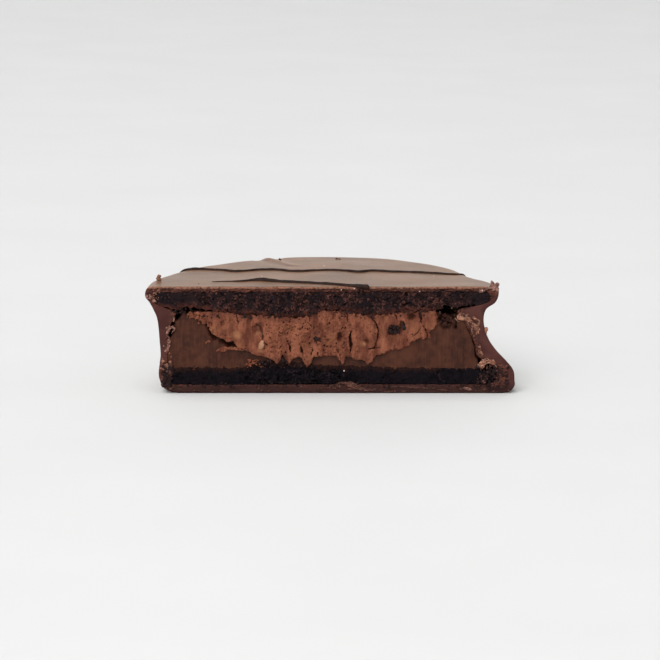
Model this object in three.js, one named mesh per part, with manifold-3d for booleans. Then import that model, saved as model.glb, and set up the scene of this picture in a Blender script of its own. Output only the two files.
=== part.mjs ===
// Half of a chocolate-coated alfajor, cut through the middle: two cocoa biscuits, a dark filling with a
// light core, one coat of chocolate round the whole, and two drizzled lines on top.
// Millimetres, +Z up. The cut faces -Y and the round side faces +Y.

import * as THREE from 'three';
import { mergeVertices } from 'three/addons/utils/BufferGeometryUtils.js';
import Module from 'manifold-3d';

const { smoothstep, degToRad, lerp } = THREE.MathUtils;

// Heights of the layers above the surface that the half stands on.
const TOTAL_HEIGHT = 20.1;
const BOTTOM_COAT = 1.5;
const TOP_COAT = 0.8;
const BOTTOM_BISCUIT_TOP = 4.9;
const TOP_BISCUIT_UNDERSIDE = 15.9;
const GAP = 0.3;

// The coat's side, at the two ends of the cut and at the back: radii of its foot, waist and rim, the
// heights between which it narrows and widens again, and the rounding of its top edge.
const RIGHT_END = { foot: 35.8, waist: 30.0, narrowTo: 12.2, widenFrom: 14.8, widenTo: 17.8, round: 0.7 };
const BACK = { foot: 32.4, waist: 31.3, narrowTo: 9.5, widenFrom: 12.5, widenTo: 17.6, round: 2.0 };
const LEFT_END = { foot: 30.5, waist: 29.9, narrowTo: 7.2, widenFrom: 13.6, widenTo: 18.2, round: 1.4 };
const RIM_RADIUS = 32.8;
const FOOT_HEIGHT = 3.2;
const FOOT_ROUND = 1.3;

// Each end's own shape fades into the back's over about an eighth of a turn.
const END_FADE = 3;

// Shallow upright flutes where the chocolate ran down the side: how many in a full turn, how deep.
const FLUTES = [
  { count: 7, depth: 0.34, turn: 0.9 },
  { count: 16, depth: 0.16, turn: 2.1 },
];

// The biscuits are round plates with soft edges. The bottom one has slid a little to the right.
const TOP_BISCUIT = { radius: 31.0, shift: 0, lowRound: 1.5, highRound: 0.5 };
const BOTTOM_BISCUIT = { radius: 30.3, shift: 1.2, lowRound: 0.6, highRound: 0.6 };
const EDGE_RIPPLE = 0.22;
const EDGE_RIPPLES = 11;

// The top biscuit's underside sags where it is thickest and lifts towards the right.
const SAG = { depth: 1.2, at: -7.6, reach: 8 };
const LIFT = { height: 0.5, from: 9.4, to: 23.4 };

// The filling's outer wall: its radius at the bottom and at the top.
const FILLING_RIGHT = { low: 29.0, high: 25.4 };
const FILLING_BACK = { low: 28.9, high: 28.2 };
const FILLING_LEFT = { low: 27.6, high: 27.9 };

// The light core is a shallow bowl that hangs from the top biscuit, with a toothed underside.
const CORE = { radius: 22.6, shift: -1.3, floor: 6.5, rise: 4.0, flatTo: 9.5, teeth: 0.55, pitch: 3.6 };
const CORE_SHOULDER = 0.86;
const CORE_LIP = { out: 0.7, up: 0.3 };
const CORE_PROUD = 0.5;
const CORE_LOBE = 0.5;
const CORE_LOBES = 9;

// Air pockets that the cut opens: places along X and up Z, and half sizes.
const POCKETS = [
  { x: 23.0, z: 15.9, across: 2.9, deep: 2.4, tall: 0.95 },
  { x: 22.9, z: 14.0, across: 1.5, deep: 1.6, tall: 1.9 },
  { x: -27.2, z: 14.6, across: 0.9, deep: 1.5, tall: 0.8 },
  { x: -28.2, z: 11.4, across: 0.7, deep: 1.4, tall: 1.1 },
];

// Drizzled lines: height of the thread's middle above the coat, and its radius.
const THREAD_RADIUS = 0.6;
const THREAD_LIFT = 0.25;
const THREAD_SIDES = 8;
const BACK_THREAD_STEPS = 56;
const FRONT_THREAD_STEPS = 20;

// How finely the solids are divided.
const TURN_STEPS = 64;
const ROUND_STEPS = 3;
const SIDE_STEPS = 11;
const PLATE_STEPS = 6;
const POCKET_SIDES = 14;
const POCKET_RINGS = 10;
const MERGE_TOLERANCE = 1e-4;
const CUTTER_SIZE = 200;

const wasm = await Module();
wasm.setup();

// ---- solids ----------------------------------------------------------------------------------------

// A closed three.js geometry as a solid that can be joined and cut.
function solidOf(geometry) {
  geometry.deleteAttribute('normal');
  geometry.deleteAttribute('uv');
  const merged = mergeVertices(geometry, MERGE_TOLERANCE);
  const corners = merged.index.array;
  const triangles = [];
  for (let i = 0; i < corners.length; i += 3) {
    const [a, b, c] = corners.slice(i, i + 3);
    if (a !== b && b !== c && c !== a) triangles.push(a, b, c);
  }
  const vertProperties = Float32Array.from(merged.attributes.position.array);
  const triVerts = Uint32Array.from(triangles);
  return new wasm.Manifold(new wasm.Mesh({ numProp: 3, vertProperties, triVerts }));
}

function geometryOf(solid) {
  const mesh = solid.getMesh();
  const geometry = new THREE.BufferGeometry();
  geometry.setAttribute('position', new THREE.Float32BufferAttribute(mesh.vertProperties, 3));
  geometry.setIndex([...mesh.triVerts]);
  geometry.computeVertexNormals();
  return geometry;
}

// A solid turned about +Z whose profile changes with the angle. Each profile runs from the bottom of the
// axis outwards and up to the top of the axis.
function turned(profileAt) {
  const rows = profileAt(0).length;
  const geometry = new THREE.LatheGeometry(profileAt(0), TURN_STEPS);
  const position = geometry.attributes.position;
  for (let step = 0; step <= TURN_STEPS; step += 1) {
    const angle = (step / TURN_STEPS) * 2 * Math.PI;
    profileAt(angle).forEach((point, row) => {
      const x = point.x * Math.cos(angle);
      const y = point.x * Math.sin(angle);
      position.setXYZ(step * rows + row, x, y, point.y);
    });
  }
  return solidOf(geometry);
}

// Everything behind the cut, or a little in front of it.
function behindCut(solid, proud = 0) {
  const cutter = new THREE.BoxGeometry(CUTTER_SIZE, CUTTER_SIZE, CUTTER_SIZE);
  cutter.translate(0, CUTTER_SIZE / 2 - proud, 0);
  return solid.intersect(solidOf(cutter));
}

// ---- shapes of the surfaces ------------------------------------------------------------------------

// A value that is known at both ends of the cut and at the back, at any angle between them.
function around(angle, right, back, left) {
  const toRight = Math.max(0, Math.cos(angle)) ** END_FADE;
  const toLeft = Math.max(0, -Math.cos(angle)) ** END_FADE;
  return back + (right - back) * toRight + (left - back) * toLeft;
}

function coatSideAt(angle) {
  const side = {};
  for (const name of Object.keys(BACK)) {
    side[name] = around(angle, RIGHT_END[name], BACK[name], LEFT_END[name]);
  }
  return side;
}

function flute(angle, z) {
  const upright = Math.sin((Math.PI * z) / TOTAL_HEIGHT);
  const fromCut = Math.abs(Math.sin(angle));
  const waves = FLUTES.map(({ count, depth, turn }) => depth * Math.sin(count * angle + turn));
  return upright * fromCut * waves.reduce((sum, wave) => sum + wave, 0);
}

function coatRadius(side, angle, z) {
  const foot = (side.foot - side.waist) * (1 - smoothstep(z, FOOT_HEIGHT, side.narrowTo));
  const rim = (RIM_RADIUS - side.waist) * smoothstep(z, side.widenFrom, side.widenTo);
  return side.waist + foot + rim + flute(angle, z);
}

// The height of the top biscuit's underside over a place on the plan.
function underside(x) {
  const sag = SAG.depth * Math.exp(-(((x - SAG.at) / SAG.reach) ** 2));
  return TOP_BISCUIT_UNDERSIDE - sag + LIFT.height * smoothstep(x, LIFT.from, LIFT.to);
}

// Points along a quarter round, from its start direction to a right angle further on.
function quarterRound(radius, from, place) {
  const points = [];
  for (let step = 0; step <= ROUND_STEPS; step += 1) {
    const turn = from + ((step / ROUND_STEPS) * Math.PI) / 2;
    points.push(place(radius * Math.cos(turn), radius * Math.sin(turn)));
  }
  return points;
}

// ---- coat ------------------------------------------------------------------------------------------

function coatProfile(angle, extra) {
  const side = coatSideAt(angle);
  const top = TOTAL_HEIGHT + extra;
  const footRadius = coatRadius(side, angle, FOOT_ROUND) + extra - FOOT_ROUND;
  const rimZ = TOTAL_HEIGHT - side.round;
  const rimRadius = coatRadius(side, angle, rimZ) + extra - side.round;
  const points = [new THREE.Vector2(0, 0)];
  points.push(...quarterRound(FOOT_ROUND, -Math.PI / 2, (across, up) => (
    new THREE.Vector2(footRadius + across, FOOT_ROUND + up)
  )));
  for (let step = 1; step < SIDE_STEPS; step += 1) {
    const z = lerp(FOOT_ROUND, rimZ, step / SIDE_STEPS);
    points.push(new THREE.Vector2(coatRadius(side, angle, z) + extra, z));
  }
  points.push(...quarterRound(side.round, 0, (across, up) => (
    new THREE.Vector2(rimRadius + across, top - side.round + up)
  )));
  points.push(new THREE.Vector2(0, top));
  return points;
}

const coatOutside = (extra) => turned((angle) => coatProfile(angle, extra));

// ---- biscuits --------------------------------------------------------------------------------------

// A round plate with a flat top, a rippled edge and an underside of any shape.
function plate(biscuit, bottomAt, top, extra) {
  return turned((angle) => {
    const radius = biscuit.radius + extra + EDGE_RIPPLE * Math.sin(EDGE_RIPPLES * angle);
    const points = [];
    for (let step = 0; step < PLATE_STEPS; step += 1) {
      const reach = (radius - biscuit.lowRound) * (step / PLATE_STEPS);
      points.push(new THREE.Vector2(reach, bottomAt(reach * Math.cos(angle)) - extra));
    }
    const edge = bottomAt(radius * Math.cos(angle)) - extra + biscuit.lowRound;
    points.push(...quarterRound(biscuit.lowRound, -Math.PI / 2, (across, up) => (
      new THREE.Vector2(radius - biscuit.lowRound + across, edge + up)
    )));
    points.push(...quarterRound(biscuit.highRound, 0, (across, up) => (
      new THREE.Vector2(radius - biscuit.highRound + across, top + extra - biscuit.highRound + up)
    )));
    points.push(new THREE.Vector2(0, top + extra));
    return points;
  }).translate([biscuit.shift, 0, 0]);
}

const topBiscuit = (extra) => plate(TOP_BISCUIT, underside, TOTAL_HEIGHT - TOP_COAT - GAP, extra);
const bottomBiscuit = (extra) => plate(BOTTOM_BISCUIT, () => BOTTOM_COAT + GAP, BOTTOM_BISCUIT_TOP, extra);

// ---- fillings --------------------------------------------------------------------------------------

function filling(extra) {
  const floor = BOTTOM_BISCUIT_TOP + GAP - extra;
  return turned((angle) => {
    const low = around(angle, FILLING_RIGHT.low, FILLING_BACK.low, FILLING_LEFT.low) + extra;
    const high = around(angle, FILLING_RIGHT.high, FILLING_BACK.high, FILLING_LEFT.high) + extra;
    const points = [new THREE.Vector2(0, floor), new THREE.Vector2(low, floor)];
    const roofEdge = underside(high * Math.cos(angle)) - GAP + extra;
    for (let step = 1; step < ROUND_STEPS; step += 1) {
      const part = step / ROUND_STEPS;
      points.push(new THREE.Vector2(lerp(low, high, part), lerp(floor, roofEdge, part)));
    }
    for (let step = PLATE_STEPS; step >= 0; step -= 1) {
      const reach = high * (step / PLATE_STEPS);
      points.push(new THREE.Vector2(reach, underside(reach * Math.cos(angle)) - GAP + extra));
    }
    return points;
  });
}

function coreFloor(reach) {
  const part = Math.max(0, reach - CORE.flatTo) / (CORE.radius - CORE.flatTo);
  const teeth = CORE.teeth * Math.cos((2 * Math.PI * reach) / CORE.pitch) * (1 - part);
  return CORE.floor + CORE.rise * part - teeth;
}

function core(extra) {
  const shoulder = CORE.radius * CORE_SHOULDER;
  const bowlSteps = PLATE_STEPS * 2;
  return turned((angle) => {
    const lobe = CORE_LOBE * Math.sin(CORE_LOBES * angle) * Math.abs(Math.sin(angle));
    const rim = CORE.radius + lobe + extra;
    const roof = underside((rim + CORE.shift) * Math.cos(angle)) - GAP + extra;
    const points = [];
    for (let step = 0; step <= bowlSteps; step += 1) {
      const reach = shoulder * (step / bowlSteps);
      points.push(new THREE.Vector2(reach + (extra * step) / bowlSteps, coreFloor(reach) - extra));
    }
    const lipZ = lerp(CORE.floor + CORE.rise, roof, CORE_LIP.up);
    points.push(new THREE.Vector2(lerp(shoulder, rim, CORE_LIP.out), lipZ));
    for (let step = PLATE_STEPS; step >= 0; step -= 1) {
      const reach = rim * (step / PLATE_STEPS);
      const x = reach * Math.cos(angle) + CORE.shift;
      points.push(new THREE.Vector2(reach, underside(x) - GAP + extra));
    }
    return points;
  }).translate([CORE.shift, 0, 0]);
}

function pocket({ x, z, across, deep, tall }) {
  const ball = new THREE.SphereGeometry(1, POCKET_SIDES, POCKET_RINGS);
  ball.scale(across, deep, tall);
  ball.translate(x, 0, z);
  return solidOf(ball);
}

// ---- drizzle ---------------------------------------------------------------------------------------

// A round thread along a smooth line through the given points.
function thread(path, steps) {
  const section = new THREE.Shape();
  for (let side = 0; side < THREAD_SIDES; side += 1) {
    const turn = (side / THREAD_SIDES) * 2 * Math.PI;
    const point = new THREE.Vector2(Math.cos(turn), Math.sin(turn)).multiplyScalar(THREAD_RADIUS);
    if (side === 0) section.moveTo(point.x, point.y);
    else section.lineTo(point.x, point.y);
  }
  const extrudePath = new THREE.CatmullRomCurve3(path);
  return solidOf(new THREE.ExtrudeGeometry(section, { steps, bevelEnabled: false, extrudePath }));
}

const onTop = (x, y) => new THREE.Vector3(x, y, TOTAL_HEIGHT + THREAD_LIFT);

function aroundAxis(angle, radius, z) {
  return new THREE.Vector3(radius * Math.cos(angle), radius * Math.sin(angle), z);
}

function onSide(degrees, z) {
  const angle = degToRad(degrees);
  return aroundAxis(angle, coatRadius(coatSideAt(angle), angle, z) + THREAD_LIFT, z);
}

// A place on the rounded top edge, from 0 at the side to 1 at the top.
function onEdge(degrees, part) {
  const angle = degToRad(degrees);
  const side = coatSideAt(angle);
  const rimZ = TOTAL_HEIGHT - side.round;
  const reach = side.round + THREAD_LIFT;
  const turn = (part * Math.PI) / 2;
  const radius = coatRadius(side, angle, rimZ) - side.round + reach * Math.cos(turn);
  return aroundAxis(angle, radius, rimZ + reach * Math.sin(turn));
}

// ---- the half --------------------------------------------------------------------------------------

const pockets = POCKETS.map(pocket);
const hollow = [topBiscuit(GAP), bottomBiscuit(GAP), filling(GAP), ...pockets];
const coatClear = coatOutside(GAP);

const backThread = thread([
  onSide(152, 6.0),
  onSide(152, 12.0),
  onSide(151, 16.8),
  onEdge(150, 0.15),
  onEdge(149, 0.6),
  onTop(-25.6, 16.0),
  onTop(-22.0, 18.6),
  onTop(-6.0, 19.1),
  onTop(8.0, 18.6),
  onTop(20.0, 17.4),
  onTop(25.4, 15.0),
  onEdge(28, 0.6),
  onEdge(27, 0.15),
  onSide(26, 16.8),
  onSide(25, 13.4),
  onSide(25, 10.2),
], BACK_THREAD_STEPS);

const frontThread = thread([
  onTop(-21.6, 6.8),
  onTop(-16.6, 7.2),
  onTop(-11.2, 7.9),
  onTop(1.5, 3.9),
  onTop(9.5, -0.5),
], FRONT_THREAD_STEPS);

const pieces = [
  {
    name: 'coating',
    solid: hollow.reduce((coat, void_) => coat.subtract(void_), behindCut(coatOutside(0))),
    colour: 0x55362f,
    roughness: 0.4,
  },
  {
    name: 'top_biscuit',
    solid: behindCut(topBiscuit(0)),
    colour: 0x2f2020,
    roughness: 0.95,
  },
  {
    name: 'bottom_biscuit',
    solid: behindCut(bottomBiscuit(0)),
    colour: 0x191416,
    roughness: 0.95,
  },
  {
    name: 'dark_filling',
    solid: pockets.reduce((dark, void_) => dark.subtract(void_), behindCut(filling(0)).subtract(core(GAP))),
    colour: 0x4c2f25,
    roughness: 0.6,
  },
  {
    name: 'light_filling',
    solid: behindCut(core(0), CORE_PROUD),
    colour: 0x744635,
    roughness: 0.8,
  },
  {
    name: 'drizzle_back',
    solid: behindCut(backThread.subtract(coatClear)),
    colour: 0x2e1e19,
    roughness: 0.35,
  },
  {
    name: 'drizzle_front',
    solid: behindCut(frontThread.subtract(coatClear)),
    colour: 0x2e1e19,
    roughness: 0.35,
  },
];

// The origin is under the middle of the half's bounding box, on the surface that it stands on.
const group = new THREE.Group();
for (const { name, solid, colour, roughness } of pieces) {
  const material = new THREE.MeshStandardMaterial({ color: colour, roughness, metalness: 0 });
  const mesh = new THREE.Mesh(geometryOf(solid), material);
  mesh.name = name;
  group.add(mesh);
}
const extent = new THREE.Box3().setFromObject(group);
const middle = extent.getCenter(new THREE.Vector3());
group.position.set(-middle.x, -middle.y, 0);

export default group;
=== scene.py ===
"""Half of a chocolate-coated alfajor on a pale floor, its cut face to the camera.

Shapes are worked out in millimetres as (x, deep, up): x along the cut, deep behind the cut, up from the
surface that the half stands on. metres() puts them into the shared frame.
"""

import functools
import itertools
import math

import bmesh
import bpy
import numpy as np
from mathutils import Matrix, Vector


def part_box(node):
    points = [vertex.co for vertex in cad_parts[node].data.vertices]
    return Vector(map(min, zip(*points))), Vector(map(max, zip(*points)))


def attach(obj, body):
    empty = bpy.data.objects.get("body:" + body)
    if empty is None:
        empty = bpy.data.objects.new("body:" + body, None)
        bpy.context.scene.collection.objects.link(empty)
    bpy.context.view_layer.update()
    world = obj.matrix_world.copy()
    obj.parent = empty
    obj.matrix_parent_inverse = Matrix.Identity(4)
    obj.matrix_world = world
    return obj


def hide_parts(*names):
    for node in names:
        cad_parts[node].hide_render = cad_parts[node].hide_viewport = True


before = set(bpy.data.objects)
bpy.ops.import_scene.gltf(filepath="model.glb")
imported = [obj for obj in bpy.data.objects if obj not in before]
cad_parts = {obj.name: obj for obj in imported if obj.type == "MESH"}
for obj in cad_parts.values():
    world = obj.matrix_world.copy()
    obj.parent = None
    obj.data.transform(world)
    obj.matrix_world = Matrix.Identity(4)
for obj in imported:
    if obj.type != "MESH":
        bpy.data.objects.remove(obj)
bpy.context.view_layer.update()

# ---- sizes from the frame ----

MM = 0.001
COAT_LOW, COAT_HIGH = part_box("coating")
PLATE_LOW, PLATE_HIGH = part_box("top_biscuit")

# Where the cut face lies, in metres. What follows is in millimetres: the height of the coat's top, the
# middle of the whole that the half was cut from, and the radii of its layers.
CUT_Y = COAT_LOW.y
TOP = COAT_HIGH.z / MM
AXIS = (PLATE_LOW.x + PLATE_HIGH.x) / 2 / MM
TOP_BISCUIT_WIDEST = (PLATE_HIGH.x - PLATE_LOW.x) / 2 / MM
BOTTOM_BISCUIT_RADIUS = 28.8
FILLING_RADIUS = 28.6

# The coat's side from under its foot up to its top edge, as (radius, up), at the right end of the cut, at
# the back and at the left end. A place in one line answers the same place in the others.
OUTER = (
    ((33.6, 0), (34.9, 0.3), (35.8, 1.3), (35.9, 2.6), (35.6, 4.4), (34.1, 6.3), (32.5, 8.0), (31.1, 10.0),
     (30.3, 12.2), (30.1, 14.2), (30.6, 15.9), (32.2, 17.1), (32.8, 18.3), (32.85, 19.4), (32.5, 20.0),
     (31.8, TOP)),
    ((30.6, 0), (31.8, 0.3), (32.4, 1.2), (32.5, 2.4), (32.2, 3.6), (31.7, 5.6), (31.4, 8.0), (31.2, 10.2),
     (31.3, 12.4), (31.6, 14.4), (32.1, 16.0), (32.5, 17.3), (32.5, 18.4), (31.9, 19.4), (30.9, 19.95),
     (29.6, TOP)),
    ((26.6, 0), (28.4, 0.35), (29.6, 1.3), (30.2, 2.5), (30.4, 3.7), (30.2, 5.5), (30.0, 7.4), (30.15, 9.8),
     (30.3, 12.0), (30.6, 14.2), (31.25, 15.8), (32.0, 17.2), (32.7, 18.1), (32.75, 19.0), (32.3, 19.85),
     (31.5, TOP)),
)
# The same for the inside of the coat, from the corner of the base to the corner of the roof.
INNER = (
    ((30.5, 1.65), (31.6, 1.9), (32.4, 2.6), (32.5, 3.6), (32.0, 4.9), (30.1, 6.2), (28.8, 7.2), (28.5, 9.0),
     (27.7, 11.0), (26.6, 13.2), (25.2, 15.4), (27.2, 16.25), (29.8, 16.55), (31.0, 17.1), (31.15, 18.3),
     (30.7, 19.2)),
    ((29.5, 1.6), (30.4, 1.9), (30.9, 2.7), (31.0, 3.6), (30.8, 4.8), (30.3, 6.2), (30.0, 8.2), (29.8, 10.2),
     (29.8, 12.4), (30.0, 14.2), (30.4, 15.6), (30.9, 16.6), (31.1, 17.4), (31.0, 18.2), (30.6, 18.8),
     (29.8, 19.2)),
    ((27.0, 1.6), (28.3, 2.0), (29.2, 2.9), (29.4, 3.8), (29.1, 4.9), (28.8, 6.3), (28.7, 8.2), (28.7, 10.3),
     (28.3, 12.4), (27.6, 14.0), (27.1, 15.2), (28.6, 15.9), (30.2, 16.4), (31.0, 17.2), (31.2, 18.2),
     (30.8, 19.1)),
)
# Each end's own line fades into the back's over about an eighth of a turn.
END_FADE = 3
# Ways in (x, deep, up).
BACK, UP = np.array((0, 1, 0)), np.array((0, 0, 1))


def metres(places):
    """Places (x, deep, up) in millimetres as points of the shared frame."""
    return np.asarray(places, float) * MM + CUT_Y * BACK


def round_axis(angle, radius, up):
    """Places at angles round the axis of the whole, counted from the right end of the cut."""
    return np.stack((AXIS + radius * np.cos(angle), radius * np.sin(angle), up), -1)


# ---- random hills, pebbles and lines ----

# How many random numbers the hills draw on, and what brings them to about -1 to 1.
TABLE = 4096
HILL_LIFT = 1.6
# Farther than any distance here.
FAR = 99.0


@functools.cache
def dice(seed):
    """A shuffled row of numbers, and random arrows and places to pick with it."""
    rng = np.random.default_rng(seed)
    arrows = rng.normal(size=(TABLE, 3)).astype(np.float32)
    arrows /= np.linalg.norm(arrows, axis=-1, keepdims=True)
    return rng.permutation(TABLE), arrows, rng.random((TABLE, 3)).astype(np.float32)


def picked(shuffled, cell):
    """A random but fixed number for every cell of a grid."""
    i, j, k = (cell[..., axis] for axis in range(3))
    return shuffled[(shuffled[(shuffled[i % TABLE] + j) % TABLE] + k) % TABLE]


def clouds(places, size, seed, stretch=(1, 1, 1)):
    """Smooth random hills between about -1 and 1, each about `size` across."""
    shuffled, arrows, _ = dice(seed)
    scaled = (np.asarray(places) / (size * np.array(stretch))).astype(np.float32)
    cell = np.floor(scaled).astype(int)
    part = scaled - cell
    fade = part ** 3 * (part * (part * 6 - 15) + 10)
    total = np.zeros(scaled.shape[:-1])
    for corner in itertools.product((0, 1), repeat=3):
        weight = math.prod(fade[..., n] if corner[n] else 1 - fade[..., n] for n in range(3))
        arrow = arrows[picked(shuffled, cell + corner)]
        total += weight * sum(arrow[..., n] * (part[..., n] - corner[n]) for n in range(3))
    return total * HILL_LIFT


def layered(places, size, seed, layers=3):
    """Hills with finer and lower hills on them."""
    return sum(clouds(places, size / 2 ** n, seed + n) / 2 ** n for n in range(layers))


def hills(places, rows):
    """A sum of random hills, each (height, size, seed) or (height, size, seed, stretch)."""
    return sum(height * clouds(places, *how) for height, *how in rows)


def pebbles(places, size, seed):
    """Distances, in pebble sizes, to the nearest and the second nearest of a loose packing of middles."""
    shuffled, _, spots = dice(seed)
    scaled = np.asarray(places) / size
    cell = np.floor(scaled).astype(int)
    near = np.full(scaled.shape[:-1], FAR)
    second = near.copy()
    for shift in itertools.product((-1, 0, 1), repeat=3):
        around = cell + shift
        away = np.linalg.norm(around + spots[picked(shuffled, around)] - scaled, axis=-1)
        second = np.minimum(second, np.maximum(near, away))
        near = np.minimum(near, away)
    return near, second


def unit(values):
    """Values kept between 0 and 1."""
    return np.clip(values, 0, 1)


def rise(low, high, values):
    """0 below low, 1 above high and a soft step between them."""
    part = unit((values - low) / (high - low))
    return part * part * (3 - 2 * part)


def fall(low, high, values):
    """1 below low, 0 above high and a soft step between them."""
    return 1 - rise(low, high, values)


def bell(values, middle, half):
    """A hill of 1 at the middle, about `half` wide on either side."""
    return np.exp(-((values - middle) / half) ** 2)


def between(start, end, leave, arrive, s):
    """The part s of a smooth line from start to end, with its slopes at both."""
    line = (1 + 2 * s) * (1 - s) ** 2 * start + s * s * (3 - 2 * s) * end
    return line + s * (1 - s) ** 2 * leave + s * s * (s - 1) * arrive


def strides(points):
    """Distances from each point of a line to the next."""
    return np.linalg.norm(np.diff(np.array(points, float), axis=0), axis=1)


def through(points, steps):
    """Places along a smooth line through points, at each step from 0 to 1 of its length."""
    points = np.array(points, float)
    knots = np.r_[0, np.cumsum(strides(points))]
    knots /= knots[-1]
    slopes = np.gradient(points, knots, axis=0)
    steps = np.asarray(steps, float)
    i = np.clip(np.searchsorted(knots, steps, side="right") - 1, 0, len(points) - 2)
    gap = (knots[i + 1] - knots[i])[..., None]
    s = (steps - knots[i])[..., None] / gap
    return between(points[i], points[i + 1], gap * slopes[i], gap * slopes[i + 1], s)


def beside(x, up, points):
    """Distance of each place to a bent line, and how far along the line it is."""
    here = np.stack((x, up), -1)
    best, along = np.full(x.shape, FAR), np.zeros(x.shape)
    count = len(points) - 1
    for n, (a, b) in enumerate(zip(np.array(points[:-1], float), np.array(points[1:], float))):
        part = unit((here - a) @ (b - a) / np.sum((b - a) ** 2))
        away = np.linalg.norm(here - a - part[..., None] * (b - a), axis=-1)
        closer = away < best
        best, along = np.where(closer, away, best), np.where(closer, (n + part) / count, along)
    return best, along


# ---- node trees as expressions ----


class Wire:
    """One output of a node. Sums on wires add Math nodes to their tree."""

    def __init__(self, graph, socket):
        self.graph, self.socket = graph, socket

    def math(self, operation, *others):
        return self.graph.node("ShaderNodeMath", {"operation": operation}, dict(enumerate((self, *others))))

    def __add__(self, other):
        return self.math("ADD", other)

    def __sub__(self, other):
        return self.math("SUBTRACT", other)

    def __rsub__(self, other):
        return self * -1 + other

    def __mul__(self, other):
        return self.math("MULTIPLY", other)

    __radd__, __rmul__ = __add__, __mul__

    def step(self, low, high):
        """0 below low, 1 above high and a soft step between them."""
        values = {"Value": self, "From Min": low, "From Max": high}
        return self.graph.node("ShaderNodeMapRange", {"interpolation_type": "SMOOTHSTEP"}, values)

    def fall(self, low, high):
        """1 below low, 0 above high and a soft step between them."""
        return 1 - self.step(low, high)


class Graph:
    """A node tree that is written as expressions on wires."""

    def __init__(self, tree):
        self.tree = tree

    def node(self, kind, settings=None, values=None, out=None):
        """Adds a node: its settings first, then the values or wires of its sockets. Gives one output."""
        node = self.tree.nodes.new(kind)
        for name, setting in (settings or {}).items():
            setattr(node, name, setting)
        for key, value in (values or {}).items():
            named = [s for s in node.inputs if s.enabled and s.name == key]
            socket = node.inputs[key] if isinstance(key, int) else named[0]
            if isinstance(value, Wire):
                self.tree.links.new(value.socket, socket)
            else:
                socket.default_value = value
        shown = [s for s in node.outputs if s.enabled and out in (None, s.name)]
        return Wire(self, shown[0]) if shown else None

    def mix(self, first, second, part):
        """A colour between two colours."""
        return self.node("ShaderNodeMix", {"data_type": "RGBA"}, {"Factor": part, "A": first, "B": second})

    def painted(self, tone, *coats):
        """A colour under coats of (colour, part), one after another."""
        for colour, part in coats:
            tone = self.mix(tone, colour, part)
        return tone

    def place(self, size, stretch=(1, 1, 1), shift=0.0):
        """Object coordinates in units of `size` millimetres."""
        scale = [1 / (MM * size * s) for s in stretch]
        where = self.node("ShaderNodeTexCoord", out="Object")
        values = {"Vector": where, "Location": (shift,) * 3, "Scale": scale}
        return self.node("ShaderNodeMapping", {}, values)

    def height(self):
        """Millimetres above the floor."""
        return self.node("ShaderNodeSeparateXYZ", {}, {"Vector": self.place(1.0)}, out="Z")

    def noise(self, size, detail, stretch=(1, 1, 1), shift=0.0, rough=0.5):
        """Random hills of 0 to 1, each about `size` millimetres across."""
        where = self.place(size, stretch, shift)
        values = {"Vector": where, "Scale": 1.0, "Detail": detail, "Roughness": rough}
        return self.node("ShaderNodeTexNoise", {}, values, out="Fac")

    def dots(self, size, shift):
        """Distance to the nearest of scattered middles, in units of `size`."""
        values = {"Vector": self.place(size, shift=shift), "Scale": 1.0}
        return self.node("ShaderNodeTexVoronoi", {}, values, out="Distance")

    def ridges(self, size, detail, shift, narrow, wide):
        """Thin lines that wander between hills of `size` millimetres, 1 in their middle."""
        return (self.noise(size, detail, shift=shift) - 0.5).math("ABSOLUTE").fall(narrow, wide)

    def mark(self, name):
        """A number that a piece keeps at each of its points."""
        return self.node("ShaderNodeAttribute", {"attribute_name": name}, out="Fac")

    def bump(self, height, tall, under=None):
        """A normal from a height of 0 to 1 that stands `tall` millimetres."""
        values = {"Height": height, "Distance": tall * MM, "Strength": 1.0}
        if under:
            values["Normal"] = under
        return self.node("ShaderNodeBump", {}, values)


def tint(*levels):
    """A colour from its usual 0 to 255 values."""
    parts = [level / 255 for level in levels]
    return *(((p + 0.055) / 1.055) ** 2.4 if p > 0.0404 else p / 12.92 for p in parts), 1.0


def finish(name, look):
    """A material from a function that gives its surface."""
    material = bpy.data.materials.new(name)
    material.use_nodes = True
    material.node_tree.nodes.clear()
    graph = Graph(material.node_tree)
    graph.node("ShaderNodeOutputMaterial", {}, {"Surface": look(graph)})
    return material


def surface(graph, tone, roughness, shine, **more):
    """The usual surface shader, its further sockets named in plain words."""
    values = {"Base Color": tone, "Roughness": roughness, "Specular IOR Level": shine}
    values |= {name.replace("_", " ").title(): value for name, value in more.items()}
    return graph.node("ShaderNodeBsdfPrincipled", {}, values)


# ---- finishes ----

# The dull reddish sheen of chocolate.
BLOOM = (1.0, 0.6, 0.30, 1.0)


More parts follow.
